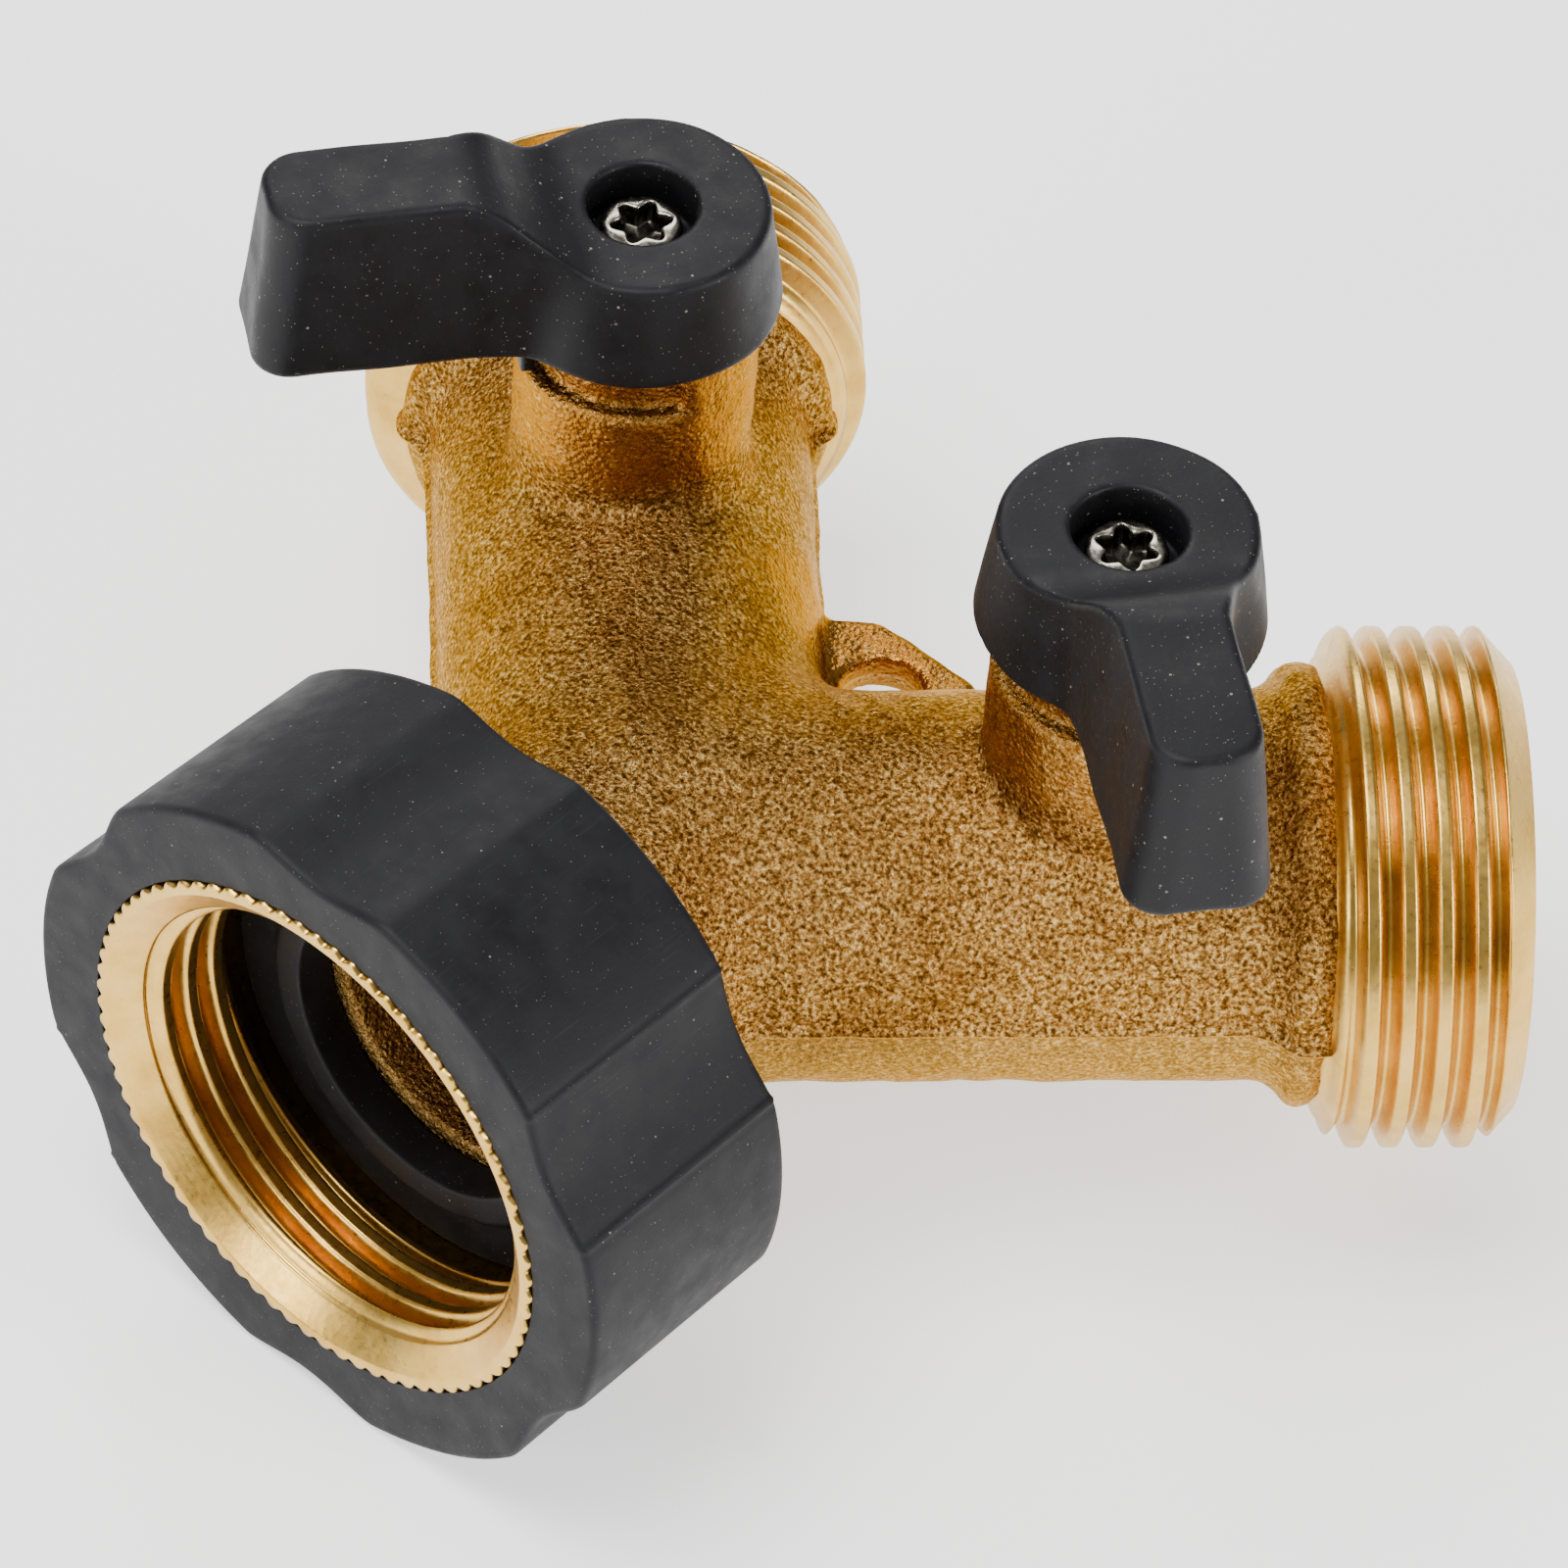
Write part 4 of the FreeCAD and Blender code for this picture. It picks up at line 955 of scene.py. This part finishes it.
# In the handle's own frame, with X out along the arm: a drafted round head, and a drafted bar with round tip
# corners and hollow-sided webs, both under a roof that ramps up from the head; the tab hangs below.
def handleField(points):
    h = handle
    x, y, z = points.T
    share = (h["headTop"] - z) / (h["headTop"] - h["floor"])
    headRadius = h["headTopRadius"] + (h["headFootRadius"] - h["headTopRadius"]) * share
    head = np.hypot(x, y) - headRadius
    down = (h["armTop"] - z) / (h["armTop"] - h["floor"])
    half = h["armHalf"] + h["armDraft"] * down
    end = h["armEnd"] - h["armDraft"] * (1 - down)
    corner = h["armCorner"]
    out = x - (end - corner)
    wide = np.abs(y) - (half - corner)
    bar = np.hypot(np.maximum(out, 0), np.maximum(wide, 0)) + np.minimum(np.maximum(out, wide), 0) - corner
    bar = np.maximum(bar, -x)
    (x0, w0), (x1, w1), (x2, w2) = (*h["fan"], (h["fanReach"], half))
    edge = (w0 * (x - x1) * (x - x2) / ((x0 - x1) * (x0 - x2))     # the parabola through the three points
            + w1 * (x - x0) * (x - x2) / ((x1 - x0) * (x1 - x2))
            + w2 * (x - x0) * (x - x1) / ((x2 - x0) * (x2 - x1)))
    fan = np.maximum(np.abs(y) - edge, np.maximum(-x, x - x2))
    rise = h["armTop"] - h["headTop"]
    run = h["rampRun"]
    ramped = ((h["armStart"] - x) * rise + (z - h["armTop"]) * run) / math.hypot(rise, run)
    roof = blendMax(blendMin(z - h["headTop"], ramped, h["rampFoot"]), z - h["armTop"], h["rampCrest"])
    plan = blendMin(np.minimum(bar, fan), head, h["headBlend"])
    solid = blendMax(plan, roof, h["edge"])
    solid = blendMax(solid, h["floor"] - z, h["floorEdge"])
    inner, outer, tabHalf, tabFloor = h["tab"]
    tab = blendMax(np.maximum(np.abs(x - (inner + outer) / 2) - (outer - inner) / 2, tabFloor - z),
                   np.maximum(np.abs(y) - tabHalf, z - h["floor"] - h["tabRoot"]), h["tabEdge"])
    solid = np.minimum(solid, tab)
    radius = np.hypot(x, y)
    well = np.maximum(radius - h["wellRadius"], h["wellFloor"] - z)
    near, far, pocketHalf, pocketTop = h["pocket"]
    pocket = np.maximum(np.maximum(near - x, x - far), np.maximum(np.abs(y) - pocketHalf, z - pocketTop))
    socket = np.maximum(np.maximum(np.abs(x), np.abs(y)) - h["socketHalf"], z - h["socketTop"])
    hole = radius - h["shankHole"]
    solid = blendMax(solid, -well, h["wellEdge"])
    solid = blendMax(solid, -np.minimum(pocket, np.minimum(socket, hole)), h["hollowEdge"])
    return solid + h["waviness"] * waveNoise(points, 6.0, 8, 11)


def handlePiece(side):
    h = handle
    reach = h["headFootRadius"]
    low = (-reach, -reach, h["tab"][3])
    high = (h["armEnd"], reach, h["armTop"])
    piece = fieldPiece(side["name"] + "HandleGrip", handleField, low, high, h["step"])
    place = Matrix.Translation(Vector(side["valve"] * mm)) @ Matrix.Rotation(side["heading"], 4, "Z")
    piece.data.transform(place)
    finish(piece, "plastic", side["name"] + "_valve", "handle_plastic", side["name"] + "_handle")
    return piece


handles = [handlePiece(side) for side in sides]
print("handles made:", len(handles[0].data.polygons), "quads each")


screw = {
    "headRadius": 2.1,
    "headTop": 24.5,
    "seat": 23.0,
    "crown": 0.16,
    "recessRadius": 1.36,
    "recessLobe": 0.26,
    "recessDepth": 1.25,
    "shank": 1.45,
    "end": 15.0,
    "angles": 120,
}


# Rings from the middle of the recess out over the crowned head and down the shank: the recess rings follow
# radius = mean + lobe * cos(6 * angle), and both ends close on a ring of almost no size with a cap.
def screwPiece(side):
    s = screw
    angle = np.arange(s["angles"])[None, :] * 2 * np.pi / s["angles"]
    lobes = np.cos(6 * angle)
    mean, lobe = s["recessRadius"], s["recessLobe"]
    top, outer, shank = s["headTop"], s["headRadius"], s["shank"]
    floor = top - s["recessDepth"]
    rings = [
        (0.001, 0, floor - 0.25), (0.5, 0.0, floor - 0.12), (mean - 0.35, lobe * 0.8, floor),
        (mean - 0.08, lobe, floor + 0.05), (mean - 0.04, lobe, top - 0.12), (mean, lobe, top - 0.03),
        (mean + 0.08, lobe * 0.8, top), (outer - 0.28, 0.03, top - 0.04), (outer - 0.08, 0, top - s["crown"]),
        (outer, 0, top - 0.4), (outer, 0, s["seat"] + 0.1), (outer - 0.1, 0, s["seat"]),
        (shank + 0.1, 0, s["seat"]), (shank, 0, s["seat"] - 0.2), (shank, 0, s["end"] + 0.3),
        (shank - 0.3, 0, s["end"]), (0.001, 0, s["end"]),
    ]
    radii = np.vstack([r + amount * lobes for r, amount, _ in rings])
    heights = np.vstack([h + 0 * angle for _, _, h in rings])
    rows, columns = radii.shape
    turned = angle + side["heading"]
    local = np.stack([radii * np.cos(turned), radii * np.sin(turned), heights], -1).reshape(-1, 3)
    faces = gridQuads(rows, columns, False).tolist()
    faces += [list(range(columns))[::-1], list(range((rows - 1) * columns, rows * columns))]
    piece = meshPiece(side["name"] + "Screw", local + side["valve"] * [1, 1, 0], faces)
    finish(piece, "steel", side["name"] + "_valve", "screw_steel", side["name"] + "_handle_screw")
    return piece


for side in sides:
    screwPiece(side)
print("screws made")


insideParts = {
    "inner_seat": "seat",
    "outer_seat": "seat",
    "ball": "chrome",
    "lower_o_ring": "ringRubber",
    "upper_o_ring": "ringRubber",
    "thrust_washer": "seat",
    "stem": "Brass",
    "seat_retainer": "Brass",
}


# A piece that stays as the frame has it: the material goes in its own slot, and its faces are shaded flat.
def dressNode(name, material):
    node = frame["nodes"][name]
    node.material_slots[0].material = materials[material]
    node.data.polygons.foreach_set("use_smooth", np.full(len(node.data.polygons), False))


for side in sides:
    for part, material in insideParts.items():
        dressNode(side["name"] + "_" + part, side["name"] + material if material == "Brass" else material)
dressNode("nut_snap_ring", "spring")
print("kept nodes dressed")


studio = {
    "cameraPlace": (231.016, -246.599, 382.043),
    "cameraTurn": (43.39949, -2.66074, 42.39574),
    "lens": 237.137,
    "floorSize": 4000.0,
    "floorColour": (0.93, 0.93, 0.93),
    "floorGlow": 0.95,
    "sky": 0.28,
}


def addCamera():
    data = bpy.data.cameras.new("camera")
    data.lens = studio["lens"]
    data.sensor_width = 36.0
    data.clip_start = 0.01
    data.clip_end = 20.0
    camera = bpy.data.objects.new("camera", data)
    camera.location = Vector(studio["cameraPlace"]) * mm
    camera.rotation_euler = [math.radians(a) for a in studio["cameraTurn"]]
    bpy.context.scene.collection.objects.link(camera)
    bpy.context.scene.camera = camera


def addFloor():
    half = studio["floorSize"] / 2
    level = (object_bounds()[0].z) / mm - 0.05
    spots = [(-half, -half, level), (half, -half, level), (half, half, level), (-half, half, level)]
    floor = meshPiece("studioFloor", spots, [(0, 1, 2, 3)], False)
    material, nodes, links, shader = newMaterial("floorPaper")
    shader.inputs["Base Color"].default_value = (*studio["floorColour"], 1)
    shader.inputs["Roughness"].default_value = 0.9
    shader.inputs["Emission Color"].default_value = (1, 1, 1, 1)
    shader.inputs["Emission Strength"].default_value = studio["floorGlow"]
    floor.data.materials.append(material)


def addLight(name, place, target, size, watts, colour=(1, 1, 1)):
    data = bpy.data.lights.new(name, "AREA")
    data.shape = "RECTANGLE"
    data.size, data.size_y = (s * mm for s in size)
    data.energy = watts
    data.color = colour
    light = bpy.data.objects.new(name, data)
    light.location = Vector(place) * mm
    direction = Vector(target) * mm - light.location
    light.rotation_euler = direction.to_track_quat("-Z", "Y").to_euler()
    bpy.context.scene.collection.objects.link(light)


lights = {
    "key": ((-60, -120, 520), (300, 300), 3.4),
    "back": ((-330, 330, 330), (300, 160), 1.2),
    "front": ((-120, -480, 200), (240, 200), 1.3),
    "side": ((420, 120, 160), (120, 280), 1.6),
}


def addWorld():
    world = bpy.data.worlds.new("studio")
    world.use_nodes = True
    background = world.node_tree.nodes["Background"]
    background.inputs["Color"].default_value = (1, 1, 1, 1)
    background.inputs["Strength"].default_value = studio["sky"]
    bpy.context.scene.world = world


addCamera()
addFloor()
addWorld()
for name, (place, size, watts) in lights.items():
    addLight(name, place, (0, 25, 5), size, watts)
print("studio set")
